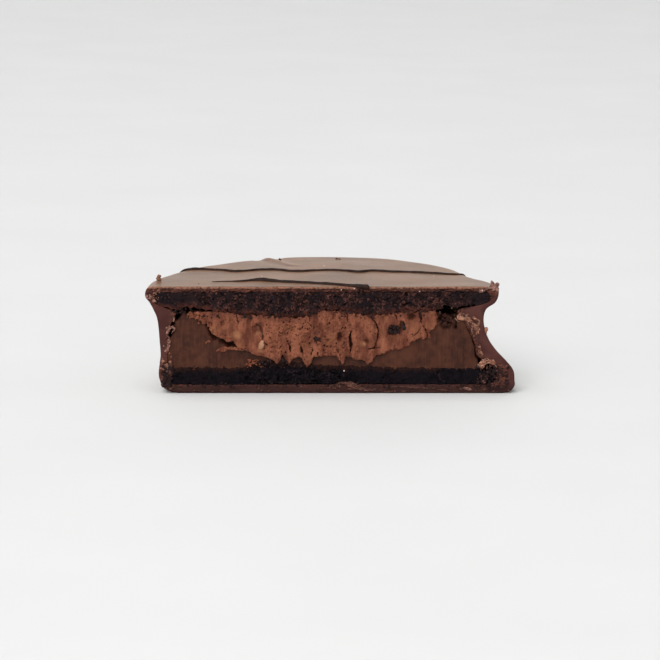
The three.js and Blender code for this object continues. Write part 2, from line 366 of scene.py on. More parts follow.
def coat_look(graph):
    """Satin chocolate: slow changes of tone, a top painted paler as a painted sheen, a porous rim painted
    paler still as a painted highlight, specks and hair-fine scuffs.
    """
    top = graph.mark("top")
    slow = graph.noise(11, 3, shift=3.1)
    fine = graph.noise(1.1, 4, shift=7.7)
    grain = graph.noise(0.22, 2, shift=1.3)
    rim = top.step(0.02, 0.3) * top.fall(0.75, 0.98)
    porous = graph.noise(4, 2, shift=9.4).step(0.42, 0.6) * rim
    pores = graph.dots(0.5, shift=2.2).fall(0.14, 0.34) * porous
    specks = graph.dots(2.2, shift=4.4).fall(0.03, 0.065)
    scuff = graph.ridges(5, 2, 6.2, 0.0015, 0.0045) * graph.noise(3.1, 1, shift=8.3).step(0.66, 0.72)
    # Painted sheen: the top is painted paler than the side, and carries more of the pale mottle. Painted
    # highlight: the rim, where the side turns over into the top, is painted paler still.
    tone = graph.painted(
        graph.mix(tint(50, 23, 14), tint(75, 38, 25), slow.step(0.3, 0.7)),
        (graph.mix(tint(82, 53, 38), tint(105, 70, 49), slow.step(0.3, 0.7)), top),
        (tint(104, 68, 52), fine.step(0.55, 0.8) * (top * 0.2 + 0.1)),
        (tint(120, 84, 66), rim * 0.4),
        (tint(34, 18, 14), pores),
        (tint(176, 142, 118), (specks + scuff * 0.7) * 0.8),
    )
    roughness = 0.32 + 0.1 * fine + 0.06 * grain
    normal = graph.bump(fine, 0.02, graph.bump(grain, 0.006))
    sheen = {"sheen_weight": 0.2, "sheen_roughness": 0.45, "sheen_tint": BLOOM}
    return surface(graph, tone, roughness, 0.32, normal=normal, **sheen)


def cut_coat_look(graph):
    """Chocolate where the knife went through: smooth maroon-brown, paler and redder where it crumbled, with
    painted shade in its fissures, along its inside and low down at the base, and a painted highlight along
    its top edge.
    """
    height = graph.height()
    slow = graph.noise(3.0, 3, shift=2.2)
    grain = graph.noise(0.35, 3, shift=5.5)
    layers = graph.noise(0.5, 3, stretch=(4, 1, 1), shift=8.1)
    broken = graph.mix(tint(40, 19, 16), tint(108, 61, 47), (grain * 0.5 + layers * 0.6).step(0.4, 0.74))
    tone = graph.painted(
        graph.mix(tint(64, 32, 28), tint(82, 46, 41), slow.step(0.35, 0.65)),
        (broken, graph.mark("rough").step(0.25, 0.8)),
        # The hollow mark is painted shade in the fissures and sunken lumps and along the inside.
        (tint(26, 11, 8), graph.mark("hollow") * 0.8),
    )
    # Painted shade: darker low down towards the base.
    tone = graph.mix(tint(40, 21, 19), tone, height.step(0.6, 2.6) * 0.7 + 0.3)
    # Painted highlight: a pale line along the top edge.
    tone = graph.mix(tone, tint(153, 107, 84), height.step(19.64, 19.94) * grain.step(0.25, 0.6) * 0.8)
    return surface(graph, tone, 0.6, 0.15, normal=graph.bump(grain, 0.03))


def biscuit_look(deep, dark, light, smooth, stain):
    """Crumb: painted shade in its crevices and low places, paler raised places and broken edges, partly their
    own colour and partly a painted highlight, places pressed smooth, and a stain beside the filling.
    """

    def look(graph):
        height, crumbly = graph.mark("height"), graph.mark("crumbly")
        grain = graph.noise(0.34, 4, shift=6.1, rough=0.7)
        torn = graph.ridges(0.75, 3, 5.3, 0.01, 0.055)
        # The height mark is painted shade and painted highlight: low places darker, raised places paler.
        tone = graph.painted(
            deep,
            (dark, (height * 0.7 + grain * 0.5).step(0.25, 0.75)),
            (light, (height * 0.5 + grain * 0.5 + torn * 0.28 * crumbly).step(0.64, 1.0)),
        )
        tone = graph.painted(
            graph.mix(smooth, tone, (crumbly + grain * 0.4 - 0.2).step(0.1, 0.85)),
            (smooth, graph.noise(1.9, 2, shift=2.9).step(0.5, 0.6) * 0.75),
            (deep, graph.noise(0.9, 3, shift=7.4).fall(0.34, 0.46) * 0.8),
            (stain, graph.mark("stained") * grain.step(0.3, 0.6) * 0.8),
        )
        return surface(graph, tone, 0.9, 0.1, normal=graph.bump(grain, 0.08))

    return look


def dark_filling_look(graph):
    """Smooth filling that the knife smeared, with faint upright strokes, and painted shade in its hollows,
    painted shadow under the light filling and painted shade under its roof at the left.
    """
    strokes = graph.noise(0.5, 3, stretch=(1, 1, 9), shift=2.7)
    slow = graph.noise(4.2, 3, shift=8.8)
    blotch = graph.noise(1.3, 3, shift=4.1)
    uneven = strokes * 0.3 + slow * 0.5 + blotch * 0.3
    tone = graph.painted(
        tint(51, 24, 15),
        (tint(80, 43, 28), uneven.step(0.42, 0.68)),
        (tint(74, 45, 28), blotch.step(0.5, 0.75) * 0.4),
        # The hollow mark is painted shade in hollows and painted shadow under the light filling and the roof.
        (tint(34, 16, 11), graph.mark("hollow").step(0.1, 0.9)),
    )
    normal = graph.bump(strokes, 0.02, graph.bump(graph.noise(0.25, 2), 0.012))
    return surface(graph, tone, 0.65, 0.18, normal=normal)


def light_filling_look(graph):
    """Torn, finely pitted filling: paler along its streaks and where it stands out, the latter a painted
    highlight, with painted shade in its pits, cracks and hollows and low down.
    """
    grain = graph.noise(0.3, 4, shift=3.3, rough=0.6)
    streak = graph.noise(0.9, 3, stretch=(1, 1, 3.2), shift=6.6)
    hair = graph.noise(0.3, 3, stretch=(1, 1, 4.0), shift=9.6)
    # Paler along its streaks, and a painted highlight where its facets stand out.
    streaked_and_raised = graph.mark("height") * 0.5 + streak * 0.4 + hair * 0.45
    tone = graph.painted(
        tint(90, 45, 31),
        (tint(140, 83, 60), streaked_and_raised.step(0.34, 1.0)),
        (tint(66, 30, 21), hair.fall(0.3, 0.42) * 0.6),
        (tint(118, 74, 45), graph.noise(2.7, 2, shift=1.9).step(0.52, 0.7) * 0.4),
        (tint(78, 38, 24), grain.fall(0.25, 0.48) * 0.5),
        (tint(160, 108, 76), graph.mark("nutty").step(0.15, 1.0) * 0.75),
        (tint(84, 44, 32), graph.mark("stained") * grain.step(0.35, 0.62) * 0.75),
        # The hollow mark is painted shade in hollows, cracks and pits and low down.
        (tint(44, 19, 12), graph.mark("hollow").step(0.1, 1.0)),
    )
    return surface(graph, tone, 0.75, 0.2, normal=graph.bump(grain, 0.08))


def drizzle_look(graph):
    """Darker chocolate with a closer shine."""
    fine = graph.noise(0.9, 3, shift=5.2)
    tone = graph.mix(tint(28, 15, 11), tint(48, 29, 22), fine.step(0.3, 0.75))
    return surface(graph, tone, 0.55, 0.12, normal=graph.bump(fine, 0.02))


def crumb_look(dark, light, roughness=0.85, shine=0.2):
    """Loose bits, each with a tone of its own, and a painted highlight on raised places and painted shade in
    low ones where a piece keeps how raised it is.
    """

    def look(graph):
        grain = graph.noise(0.25, 3, shift=4.9)
        # The height mark is painted highlight and shade: shavings keep how raised each place is, crumbs an
        # even middle.
        uneven = graph.mark("own") * 0.35 + graph.mark("height") * 0.9 + grain * 0.6 - 0.42
        tone = graph.mix(dark, light, uneven.step(0.0, 1.0))
        return surface(graph, tone, roughness, shine, normal=graph.bump(grain, 0.05))

    return look


# The lit wall's glow, and how many millimetres up it is whole.
WALL_GLOW = (0.315, 0.318, 0.324, 1.0)
GLOW_REACH = 540.0


def floor_look(graph):
    """Pale board with the faintest mottle, and the glow of the lit wall that it runs up into."""
    mottle = graph.noise(40, 3, shift=1.1)
    tone = graph.mix(tint(212, 212, 211), tint(218, 218, 217), mottle)
    glow = graph.mix((0.0, 0.0, 0.0, 1.0), WALL_GLOW, graph.height().step(0.0, GLOW_REACH))
    return surface(graph, tone, 0.75, 0.2, emission_color=glow, emission_strength=1.0)


LOOKS = {
    "satin_chocolate": coat_look,
    "cut_chocolate": cut_coat_look,
    "dark_crumb": biscuit_look(
        tint(13, 7, 8), tint(41, 25, 24), tint(100, 63, 55), tint(27, 20, 24), tint(84, 44, 33),
    ),
    "black_crumb": biscuit_look(
        tint(3, 2, 4), tint(10, 6, 10), tint(42, 30, 34), tint(17, 12, 18), tint(48, 26, 19),
    ),
    "smeared_filling": dark_filling_look,
    "torn_filling": light_filling_look,
    "drizzled_chocolate": drizzle_look,
    "dark_chip": crumb_look(tint(10, 6, 8), tint(50, 36, 38)),
    "recess_crumb": crumb_look(tint(26, 11, 8), tint(80, 44, 33)),
    "loose_crumb": crumb_look(tint(13, 6, 7), tint(52, 31, 30)),
    "face_crumb": crumb_look(tint(18, 9, 9), tint(84, 50, 43)),
    "chocolate_flake": crumb_look(tint(36, 16, 12), tint(178, 124, 100), 0.6, 0.3),
    "base_flake": crumb_look(tint(40, 20, 17), tint(104, 66, 54), 0.6, 0.25),
    "pale_flake": crumb_look(tint(74, 42, 36), tint(160, 116, 102), 0.6, 0.3),
    "pale_nut": crumb_look(tint(136, 90, 62), tint(200, 158, 126), 0.6, 0.3),
    "sugar_grain": crumb_look(tint(170, 145, 128), tint(225, 208, 192), 0.4, 0.4),
    "pale_board": floor_look,
}
FINISH = {name: finish(name, look) for name, look in LOOKS.items()}

# The glow is too faint and too wide to be sampled as a lamp.
FINISH["pale_board"].cycles.emission_sampling = "NONE"

# ---- meshes ----


def skin(loops, closed=False):
    """Points and faces of a body over a row of loops, capped at its ends unless it closes on itself."""
    count, size = loops.shape[:2]
    here = np.arange(count if closed else count - 1)[:, None]
    there = (here + 1) % count
    side = np.arange(size)
    after = (side + 1) % size
    corners = (here * size + side, here * size + after, there * size + after, there * size + side)
    faces = np.stack(corners, -1).reshape(-1, 4).tolist()
    if not closed:
        faces.append(list(range(size - 1, -1, -1)))
        faces.append(list(range((count - 1) * size, count * size)))
    return loops.reshape(-1, 3), faces


# Points closer than this, in metres, are one point: the coat's rings close to a point at both poles.
SAME_PLACE = 1e-8


def linked(name, data):
    """An object of a mesh, a lamp or a camera, in the scene."""
    holder = bpy.data.objects.new(name, data)
    bpy.context.scene.collection.objects.link(holder)
    return holder


def add_marks(mesh, marks):
    """Numbers that a mesh keeps at its points, read by finishes and by Geometry Nodes."""
    for mark, values in marks.items():
        data = mesh.attributes.new(mark, "FLOAT", "POINT").data
        data.foreach_set("value", np.ravel(values).astype(np.float32))


def mesh_piece(name, bodies, finish_name, marks):
    """One object of closed bodies, each given as points in millimetres and faces, with its outside out."""
    points, faces, start = [], [], 0
    for body_points, body_faces in bodies:
        points.append(body_points)
        faces += [[start + corner for corner in face] for face in body_faces]
        start += len(body_points)
    mesh = bpy.data.meshes.new(name)
    mesh.from_pydata(metres(np.concatenate(points)).tolist(), [], faces)
    add_marks(mesh, marks)
    form = bmesh.new()
    form.from_mesh(mesh)
    bmesh.ops.remove_doubles(form, verts=form.verts, dist=SAME_PLACE)
    bmesh.ops.recalc_face_normals(form, faces=form.faces)
    if form.calc_volume(signed=True) < 0:
        bmesh.ops.reverse_faces(form, faces=form.faces)
    form.to_mesh(mesh)
    form.free()
    mesh.shade_smooth()
    mesh.materials.append(FINISH[finish_name])
    return linked(name, mesh)


def keep(piece, slot, *nodes):
    """Hangs a finished piece under the root body and hides the parts of model.glb, if any are named, that it
    stands in for.
    """
    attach(piece, "root")
    if nodes:
        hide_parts(*nodes)


def patch(bottom, top, left, right, columns, rows):
    """A net of places (x, up) that fills the outline of four lines. left and right run upwards."""
    u, v = np.linspace(0, 1, columns + 1), np.linspace(0, 1, rows + 1)
    low, high = through(bottom, u)[:, None], through(top, u)[:, None]
    near, far = through(left, v)[None], through(right, v)[None]
    u, v = u[:, None, None], v[None, :, None]
    corners = (1 - u) * ((1 - v) * low[0] + v * high[0]) + u * ((1 - v) * low[-1] + v * high[-1])
    return (1 - v) * low + v * high + (1 - u) * near + u * far - corners


def from_edge(net):
    """Distance of each place of a net to the nearest edge of the net."""
    rows = np.minimum(*(np.linalg.norm(net - net[:, [end]], axis=-1) for end in (0, -1)))
    columns = np.minimum(*(np.linalg.norm(net - net[[end]], axis=-1) for end in (0, -1)))
    return np.minimum(rows, columns)


def at_depth(net, deep):
    """Places (x, up) of the cut face, as places in space at a depth behind it."""
    x, up = np.moveaxis(net, -1, 0)
    return np.stack((x, deep + 0 * x, up), -1)


def ragged(net, size, amount, reach, seed):
    """A net whose outline is torn by random bites."""
    spots = at_depth(net, 0)
    bites = np.stack((layered(spots, size, seed), layered(spots, size, seed + 5)), -1)
    return net + bites * (amount * fall(0, reach, from_edge(net)))[..., None]


def rolled(edge, reach, drop):
    """How far a sheet drops back where it rolls over its edge."""
    part = 1 - unit(edge / reach)
    return drop * (1 - np.sqrt(1 - part ** 2))


def behind(net, deep, far, rows=(-1, 0), rings=(0.5, 1.5)):
    """Loops of a body behind a sheet of the cut face: its long edges run back to a far side."""
    sheet = at_depth(net, deep)
    stations = [sheet[:, -1] + ring * BACK for ring in rings]
    for row in rows:
        station = sheet[:, row].copy()
        station[:, 1] = np.maximum(far(net[:, row]), station[:, 1] + rings[-1] + 0.2)
        stations.append(station)
    stations += [sheet[:, 0] + ring * BACK for ring in reversed(rings)]
    return np.concatenate((sheet, np.stack(stations, 1)), 1)


def round_back(radius):
    """The far side of a round plate."""
    return lambda places: np.sqrt(np.maximum(0.3, radius ** 2 - (places[:, 0] - AXIS) ** 2))


def sheet_marks(loops, **marks):
    """Marks of a sheet, carried on over the rest of its body."""
    spare = loops.shape[1] - next(iter(marks.values())).shape[1]
    return {name: np.pad(values, ((0, 0), (0, spare)), mode="edge") for name, values in marks.items()}


def spread(values):
    """Values brought to a range of about 0 to 1."""
    low, high = np.percentile(values, (2, 98))
    return unit((values - low) / (high - low))


# ---- the coat ----

# A wrinkle in the top, as places (x, deep), its height and the half width of its ridge.
WRINKLE = ((-13.3, 32.0), (-12.8, 30.3), (-11.0, 27.8), (-9.1, 24.4), (-7.9, 22.2), (-5.2, 21.6))
WRINKLE_HEIGHT, WRINKLE_HALF = 0.4, 0.8
# How much higher the top is at the back than at the cut, and how far its dome reaches back and aside.
DOME, DOME_BACK, DOME_ASIDE = 0.6, 31, 34
# Folds that hang in the side, as places (degrees round from the right end, up), and the height of each.
FOLDS = (
    (((158, 17.5), (152, 14.5), (149, 11.0), (151, 7.0), (147, 3.5)), 0.7),
    (((141, 16.0), (138, 12.0), (139, 8.5)), 0.45),
    (((166, 15.0), (163, 11.0), (164, 6.0)), -0.4),
    (((38, 16.5), (35, 12.5), (36, 8.0), (33, 4.0)), 0.6),
    (((24, 15.0), (21, 11.0), (23, 7.0)), 0.4),
    (((112, 13.5), (102, 12.4), (92, 12.9), (80, 12.0)), 0.18),
    (((125, 9.4), (108, 8.2), (95, 8.8)), 0.16),
)
# Half width of a fold's ridge.
FOLD_HALF = 1.5
# The dips beside a fold and beside the wrinkle, as (share of the ridge's height, distance, half width).
FOLD_DIP = (0.35, 2.6, 1.2)
WRINKLE_DIP = (0.5, 1.9, 1.2)
# The foot: how far its lip stands out, the height of its lumps, and how far up its crease runs, with its
# half width and its depth.
FOOT_LIP, FOOT_LUMPS = 0.35, 0.22
CREASE_UP, CREASE_HALF, CREASE_DEPTH = 2.3, 0.3, 0.22
# Random hills on the side and on the top.
SIDE_FLUTES = ((0.55, 6.5, 11, (1, 1, 4)), (0.10, 2.6, 12, (1, 1, 3)))
SIDE_WAVES = ((0.3, 15, 13),)
TOP_RIPPLES = ((0.16, 10, 15), (0.05, 4.0, 16, (1.6, 1, 1)))
# The cut edge is a piece of its own, and the rest of the coat starts this far behind the cut.
COAT_FRONT = 0.35
# Where the side turns into the top.
RIM_LOW = 18.6
# A degree round the side, in millimetres.
DEGREE = math.radians(31)
# Where the rim is out of round, as (degrees from the right end of the cut, half width in degrees, bulge).
BULGES = ((22, 12, -2.3), (70, 14, 1.3), (99, 17, 0.9))
# How finely the coat is drawn: round its outside and its inside, and from the base up its side to the top.
ROUND_OUTSIDE, ROUND_INSIDE = 210, 50
BASE_RINGS, SIDE_RINGS, TOP_RINGS = 24, 91, 110
# Points round the cut edge, stretch by stretch, and across its face.
EDGE_POINTS = {"base": 420, "right": 190, "top": 430, "left": 170}
EDGE_ROWS = 19
# The cut edge's own outside, as (depth, how far it lies inside the coat), and the depths of its inside.
EDGE_OUTSIDE = ((1.7, 0.07), (1.2, -0.01), (0.7, -0.015), (0.4, -0.015), (0.2, 0.0))
EDGE_INSIDE = (0.35, 0.8, 1.7)


def side_at(lines, angle, step):
    """(radius, up) of a side of the coat at an angle round the axis and a step from 0 to 1 up it."""
    right, left = unit(np.cos(angle)) ** END_FADE, unit(-np.cos(angle)) ** END_FADE
    shares = np.stack((right, 1 - right - left, left))[..., None]
    lines = np.array(lines, float)
    slopes = np.gradient(lines, axis=1)
    at = step * (lines.shape[1] - 1)
    i = np.clip(at.astype(int), 0, lines.shape[1] - 2)
    s = (at - i)[..., None]
    sides = between(lines[:, i], lines[:, i + 1], slopes[:, i], slopes[:, i + 1], s)
    return np.sum(shares * sides, axis=0)


def plain_skin(lines, angle, step):
    """Places on a plain coat: from the base's middle (-1) up the side (0 to 1) to the top's middle (2)."""
    radius, up = np.moveaxis(side_at(lines, angle, unit(step)), -1, 0)
    bulge = sum(tall * bell(np.degrees(angle), at, half) for at, half, tall in BULGES)
    radius = radius + bulge * rise(10, 17, up)
    radius = radius * (1 - unit(-step)) * (1 - unit(step - 1))
    return round_axis(angle, radius, up)


def outward(places):
    """The way out of the coat at its places: sideways, turning upwards over the rim."""
    out = (places - (AXIS, 0, 0)) * (1, 1, 0)
    out /= np.maximum(np.linalg.norm(out, axis=-1, keepdims=True), 1e-6)
    level = rise(RIM_LOW, TOP, places[..., 2])[..., None]
    way = out * (1 - level) + UP * level
    return way / np.maximum(np.linalg.norm(way, axis=-1, keepdims=True), 1e-6)


def side_relief(places):
    """How far the coat's side stands out: flutes and waves, a rough foot with a crease, and hanging folds."""
    x, deep, up = np.moveaxis(places, -1, 0)
    side = hills(places, SIDE_FLUTES) * rise(2.0, 6.5, up) * (1 - 0.6 * rise(15.0, 19.0, up))
    side = side + hills(places, SIDE_WAVES) * rise(0, 4, up)
    foot = fall(1.5, 2.5, up) * rise(0.0, 0.5, up)
    crease = bell(up, CREASE_UP + 0.4 * clouds(places, 5, 18), CREASE_HALF)
    crease = crease * rise(-0.3, 0.3, clouds(places, 7, 17))
    lip = FOOT_LIP * fall(1.7, 2.3, up + 0.5 * clouds(places, 3.5, 10)) * rise(0.0, 0.7, up)
    side = side + lip + foot * layered(places, 1.1, 14) * FOOT_LUMPS - crease * CREASE_DEPTH
    side = side + clouds(places, 1.2, 19) * 0.02
    way_round = np.degrees(np.arctan2(deep, x - AXIS)) * DEGREE
    dip_share, *dip_place = FOLD_DIP
    for line, tall in FOLDS:
        away, along = beside(way_round, up, [(degrees * DEGREE, fold_up) for degrees, fold_up in line])
        ends = unit(5 * along * (1 - along))
        side = side + tall * ends * (bell(away, 0, FOLD_HALF) - dip_share * bell(away, *dip_place))
    return side


def top_relief(places):
    """How far the coat's top stands up: ripples, and a wrinkle with a dip beside it."""
    away, along = beside(places[..., 0], places[..., 1], WRINKLE)
    dip_share, *dip_place = WRINKLE_DIP
    ridge = WRINKLE_HEIGHT * bell(away, 0, WRINKLE_HALF) * (1 - along) ** 0.7
    dip = dip_share * WRINKLE_HEIGHT * bell(away, *dip_place) * (1 - along)
    return hills(places, TOP_RIPPLES) + ridge - dip


def folded(places):
    """Places of the plain coat, moved by the relief of its side and its top, and by the top's dome."""
    x, deep, up = np.moveaxis(places, -1, 0)
    level = rise(RIM_LOW, TOP, up)
    side_share = 0.12 + 0.88 * rise(0.5, 6, deep)
    top_share = 0.4 + 0.6 * rise(0, 4, deep)
    move = (1 - level) * side_relief(places) * side_share + level * top_relief(places) * top_share
    hump = np.sin(unit(deep / DOME_BACK) * math.pi / 2) * (1 - ((x - AXIS) / DOME_ASIDE) ** 2)
    dome = DOME * hump * rise(14, TOP, up)
    return places + outward(places) * move[..., None] + dome[..., None] * UP


def coat_shell():
    """The whole coat but its cut edge, drawn more finely near the two ends of the cut."""
    turn = np.linspace(0, 1, ROUND_OUTSIDE)
    outer_angles = math.pi * (0.6 * turn + 0.2 * (1 - np.cos(math.pi * turn)))
    inner_angles = np.linspace(math.pi, 0, ROUND_INSIDE)
    side = np.linspace(0, 1, SIDE_RINGS)
    steps = np.r_[np.linspace(-1, -0.02, BASE_RINGS), side, np.linspace(1.01, 2, TOP_RINGS)][:, None]
    outside = folded(plain_skin(OUTER, *np.broadcast_arrays(outer_angles, steps)))
    inside = plain_skin(INNER, *np.broadcast_arrays(inner_angles, steps))
    loops = np.concatenate((outside, inside), 1)
    loops[..., 1] = np.maximum(loops[..., 1], COAT_FRONT)
    up = side_at(OUTER, *np.broadcast_arrays(outer_angles, unit(steps)))[..., 1]
    # The top mark, by which the finish paints the top paler as a painted sheen.
    top = np.concatenate((rise(RIM_LOW, TOP, up), np.zeros(inside.shape[:2])), 1)
    return skin(loops), {"top": top}


def ring_of(lines, deep):
    """Places of the coat round its cut, at one depth: base, right side, top and left side."""

    def at(angle, step):
        """A place of the side at this depth, near one end of the cut."""
        radius = side_at(lines, np.full(step.shape, angle), step)[..., 0]
        return plain_skin(lines, np.abs(angle - np.arcsin(unit(deep / radius))), step)

    along = {name: np.arange(count) / count for name, count in EDGE_POINTS.items()}
    ends = np.array((0.0, 1.0))
    right_foot, right_rim = at(0.0, ends)
    left_foot, left_rim = at(math.pi, ends)
    return np.concatenate((
        left_foot + (right_foot - left_foot) * along["base"][:, None],
        at(0.0, along["right"]),
        right_rim + (left_rim - right_rim) * along["top"][:, None],
        at(math.pi, 1 - along["left"]),
    ))


def coat_cut():
    """Loops of the coat's cut edge: smooth down its walls, crumbled round the roof, the foot and the base."""
    front, back = ring_of(OUTER, 0.0), ring_of(INNER, 0.0)
    across = back - front
    x, up = front[:, 0], front[:, 2]
    wall = np.linalg.norm(across, axis=-1)
    inward = across / wall[:, None]
    # The edge crumbled under the knife along the roof and the base. Its walls are smooth.
    roof = rise(18.9, 19.8, up) * rise(-0.2, 0.2, 31.0 - np.abs(x - AXIS))
    roof = np.maximum(roof, rise(18.2, 19.6, up) * 0.7)
    base = fall(0.2, 1.2, up)
    walls = (np.abs(x) > 20) * (up > 2)
    # Bites out of the face's outer and inner line.
    flat_front = front * (1, 0, 1)
    torn = layered(flat_front, 0.9, 41)
    wave = layered(flat_front, 2.6, 43, 4)
    chips = unit(layered(flat_front, 2.2, 44) - 0.25)
    bites = 0.05 + base * (0.16 + 0.14 * torn + 0.5 * chips) + roof * (0.04 + 0.11 * wave + 0.03 * torn)
    edge = folded(front) + inward * bites[:, None]
    inner_torn = 0.16 * layered(back * (1, 0, 1), 0.7, 47) * (0.3 + 1.3 * roof + base)
    inner_edge = back + inward * inner_torn[:, None]
    # Loops from the outside over the face to the inside, each with how rough it is and how dark it is
    # painted: painted shade in its fissures and sunken lumps, and full painted shade along its inside.
    stations = []
    for deep, sink in EDGE_OUTSIDE:
        sag = roof * (0.02 + 0.11 * wave) * fall(0.3, 1.5, deep)
        stations.append((folded(ring_of(OUTER, deep)) + inward * (sink + sag)[:, None], 0 * x, 0 * x))
    for part in np.linspace(0, 1, EDGE_ROWS):
        place = edge * (1 - part) + inner_edge * part
        border = rise(0.55, 0.95, part) * walls * 0.9
        low_right = (x > 27) * fall(4.5, 7.5, up) * rise(0.15, 0.5, part)
        low_left = (x < -27) * fall(3.8, 5.8, up) * rise(0.05, 0.5, part)
        rough = unit(roof + base * 0.45 + border + low_right + low_left)
        lumps = layered(place * (0.5, 1, 1), 0.8, 51) * 0.16 + clouds(place, 0.35, 55) * 0.03
        bent_place = place + 0.12 * clouds(place, 1.4, 56)[:, None]
        lines = np.abs(clouds(bent_place, 0.42, 57, (7, 1, 1)) + 0.2 * clouds(place, 0.5, 60))
        patches = rise(-0.25, 0.25, clouds(place, 2.5, 58))
        fissures = fall(0.03, 0.16, lines) * patches * rise(0.1, 0.3, part)
        flat = clouds(place, 2.5, 59) * 0.05 + 0.02
        bevel = rolled(min(part, 1 - part) * wall, 0.16, 0.14)
        deep = rough * (lumps + 0.3 * fissures * roof) + (1 - rough) * flat + bevel
        # Painted shade: dark in the fissures of the roof and where the lumps sink back.
        dark = unit(rough * (fissures * roof + rise(0.02, 0.3, lumps) * (1 - 0.5 * roof)))
        stations.append((place + deep[:, None] * BACK, rough, dark))
    for deep in EDGE_INSIDE:
        place = ring_of(INNER, deep) + inward * (inner_torn * (1 - deep / EDGE_INSIDE[-1]))[:, None]
        stations.append((place, rough, np.ones(len(x))))
    loops, rough, dark = (np.stack(layer, 1) for layer in zip(*stations))
    # The top mark, by which the finish paints the top paler as a painted sheen.
    top = np.broadcast_to(rise(RIM_LOW, TOP, up)[:, None], rough.shape)
    return loops, {"rough": rough, "hollow": dark, "top": top}


# ---- biscuits ----

# Outlines of the biscuits on the cut, as places (x, up): below, above, up the left end, up the right end.
UNDERSIDE = (
    (-32.0, 16.6), (-30.5, 16.15), (-28.8, 15.9), (-26.8, 16.2), (-25.3, 16.1), (-21.0, 15.4), (-17.4, 15.0),
    (-12.2, 14.7), (-4.2, 14.6), (-1.6, 15.5), (2.9, 15.4), (7.5, 14.7), (13.8, 15.4), (17.0, 15.4),
    (19.9, 15.5), (21.0, 16.4), (24.3, 16.2), (26.7, 16.5), (28.8, 16.65), (29.5, 17.1),
)
TOP_BISCUIT = (
    UNDERSIDE,
    ((-32.3, 19.1), (-26.0, 19.25), (-18.0, 19.2), (-8.0, 19.3), (2.0, 19.25), (12.0, 19.2), (22.0, 19.3),
     (29.3, 19.2)),
    ((-32.0, 16.6), (-32.7, 17.9), (-32.3, 19.1)),
    ((29.5, 17.1), (29.8, 18.1), (29.3, 19.2)),
)
BOTTOM_BISCUIT = (
    ((-30.4, 1.5), (-20, 1.45), (-8, 1.6), (3, 1.7), (14, 1.55), (24, 1.6), (31.2, 1.7)),
    ((-30.9, 4.7), (-24, 4.95), (-16.0, 5.0), (-13.6, 5.8), (-12.0, 6.2), (-10.0, 5.9), (-6.0, 5.9),
     (-3, 5.5), (4, 5.2), (12, 4.9), (20, 4.8), (27.5, 4.7), (31.4, 4.4)),
    ((-30.4, 1.5), (-31.1, 3.0), (-30.9, 4.7)),
    ((31.2, 1.7), (31.9, 3.0), (31.4, 4.4)),
)
TOP_BISCUIT_NET, BOTTOM_BISCUIT_NET = (560, 44), (540, 42)
# The top biscuit stays inside the coat where its rim is flattest.
TOP_BISCUIT_RADIUS = TOP_BISCUIT_WIDEST + min(bulge for _, _, bulge in BULGES)


def biscuit(outline, net_size, radius, front, torn, stain_below, seed):
    """A broken crumb: grains, crevices and little holes on its cut, a plain round plate behind."""
    net = ragged(patch(*outline, *net_size), 0.8, torn, 0.9, seed + 20)
    spots = at_depth(net, 0)
    x, up = net[..., 0], net[..., 1]
    crumbly = unit(rise(-0.5, 0.2, clouds(spots, 9, seed + 30)) + bell(x, -4, 9))
    crumbly = 0.25 + 0.75 * crumbly * (1 - 0.7 * fall(-27, -20, x)) * (1 - 0.6 * rise(20, 27, x))
    # Clumps with seams between them, rubble, thin ridges and little holes.
    bent = spots + 0.22 * np.stack([layered(spots, 0.6, seed + n, 2) for n in range(3)], -1)
    near, second = pebbles(bent, 0.6, seed + 4)
    clumps = unit(1 - near ** 2)
    seams = fall(0.02, 0.3, second - near) * rise(-0.3, 0.35, clouds(spots, 1.9, seed + 7))
    rubble = layered(spots, 0.72, seed + 12)
    ridges = 1 - unit(np.abs(layered(spots, 1.0, seed + 14)) / 0.24)
    holes = rise(0.36, 0.8, layered(spots * (0.7, 1, 1.2), 0.8, seed + 6)) * 0.4
    broad = hills(spots, ((0.17, 2.4, seed + 8), (0.12, 1.1, seed + 9)))
    fine = 0.05 * clouds(spots, 0.3, seed + 10)
    height = broad + crumbly * (0.07 * clumps + 0.12 * rubble + 0.1 * ridges + fine - 0.1 * seams - holes)
    # The stain of the filling, where the two touch.
    from_filling = up - net[:, :1, 1] if stain_below else net[:, -1:, 1] - up
    stained = fall(0.15, 1.15, from_filling + 0.4 * layered(spots, 1.2, seed + 15, 2))
    stained = stained * fall(19, 21, x)
    rim = rolled(from_edge(net), 0.35, 0.45) * (1 - 0.7 * stained)
    loops = behind(net, front - height + rim, round_back(radius))
    # Painted shade and highlight for the finish: raised places paler, seams, holes and the rolled-back rim
    # darker.
    raised = 0.05 * clumps + 0.18 * rubble + 0.16 * ridges + 1.5 * fine + 0.6 * broad
    shade = spread(raised - 0.16 * seams - holes - 0.4 * rim)
    return loops, sheet_marks(loops, height=shade, crumbly=crumbly, stained=stained)


# ---- fillings ----

# Hollows less deep than this show their floor: softer edges and less painted shade.
SHALLOW = 1.3


def dented(net, hollows):
    """Depth of hollows, each (x, up, half width, half height, tilt in degrees, depth), and the painted shade
    in them, more in deeper ones.
    """
    x, up = net[..., 0], net[..., 1]
    bites = 0.34 * layered(at_depth(net, 0), 0.8, 71)
    deep, shade = 0 * x, 0 * x
    for at_x, at_up, half_x, half_up, tilt, depth in hollows:
        turn = math.radians(tilt)
        along = (x - at_x) * math.cos(turn) + (up - at_up) * math.sin(turn)
        across = (up - at_up) * math.cos(turn) - (x - at_x) * math.sin(turn)
        soft = 0.45 if depth < SHALLOW else 0.7
        inside = fall(soft, 1.85 - soft, np.hypot(along / half_x, across / half_up) + bites)
        deep = np.maximum(deep, depth * inside)
        shade = np.maximum(shade, inside * min(1.0, 0.85 * depth / SHALLOW))
    return deep, shade


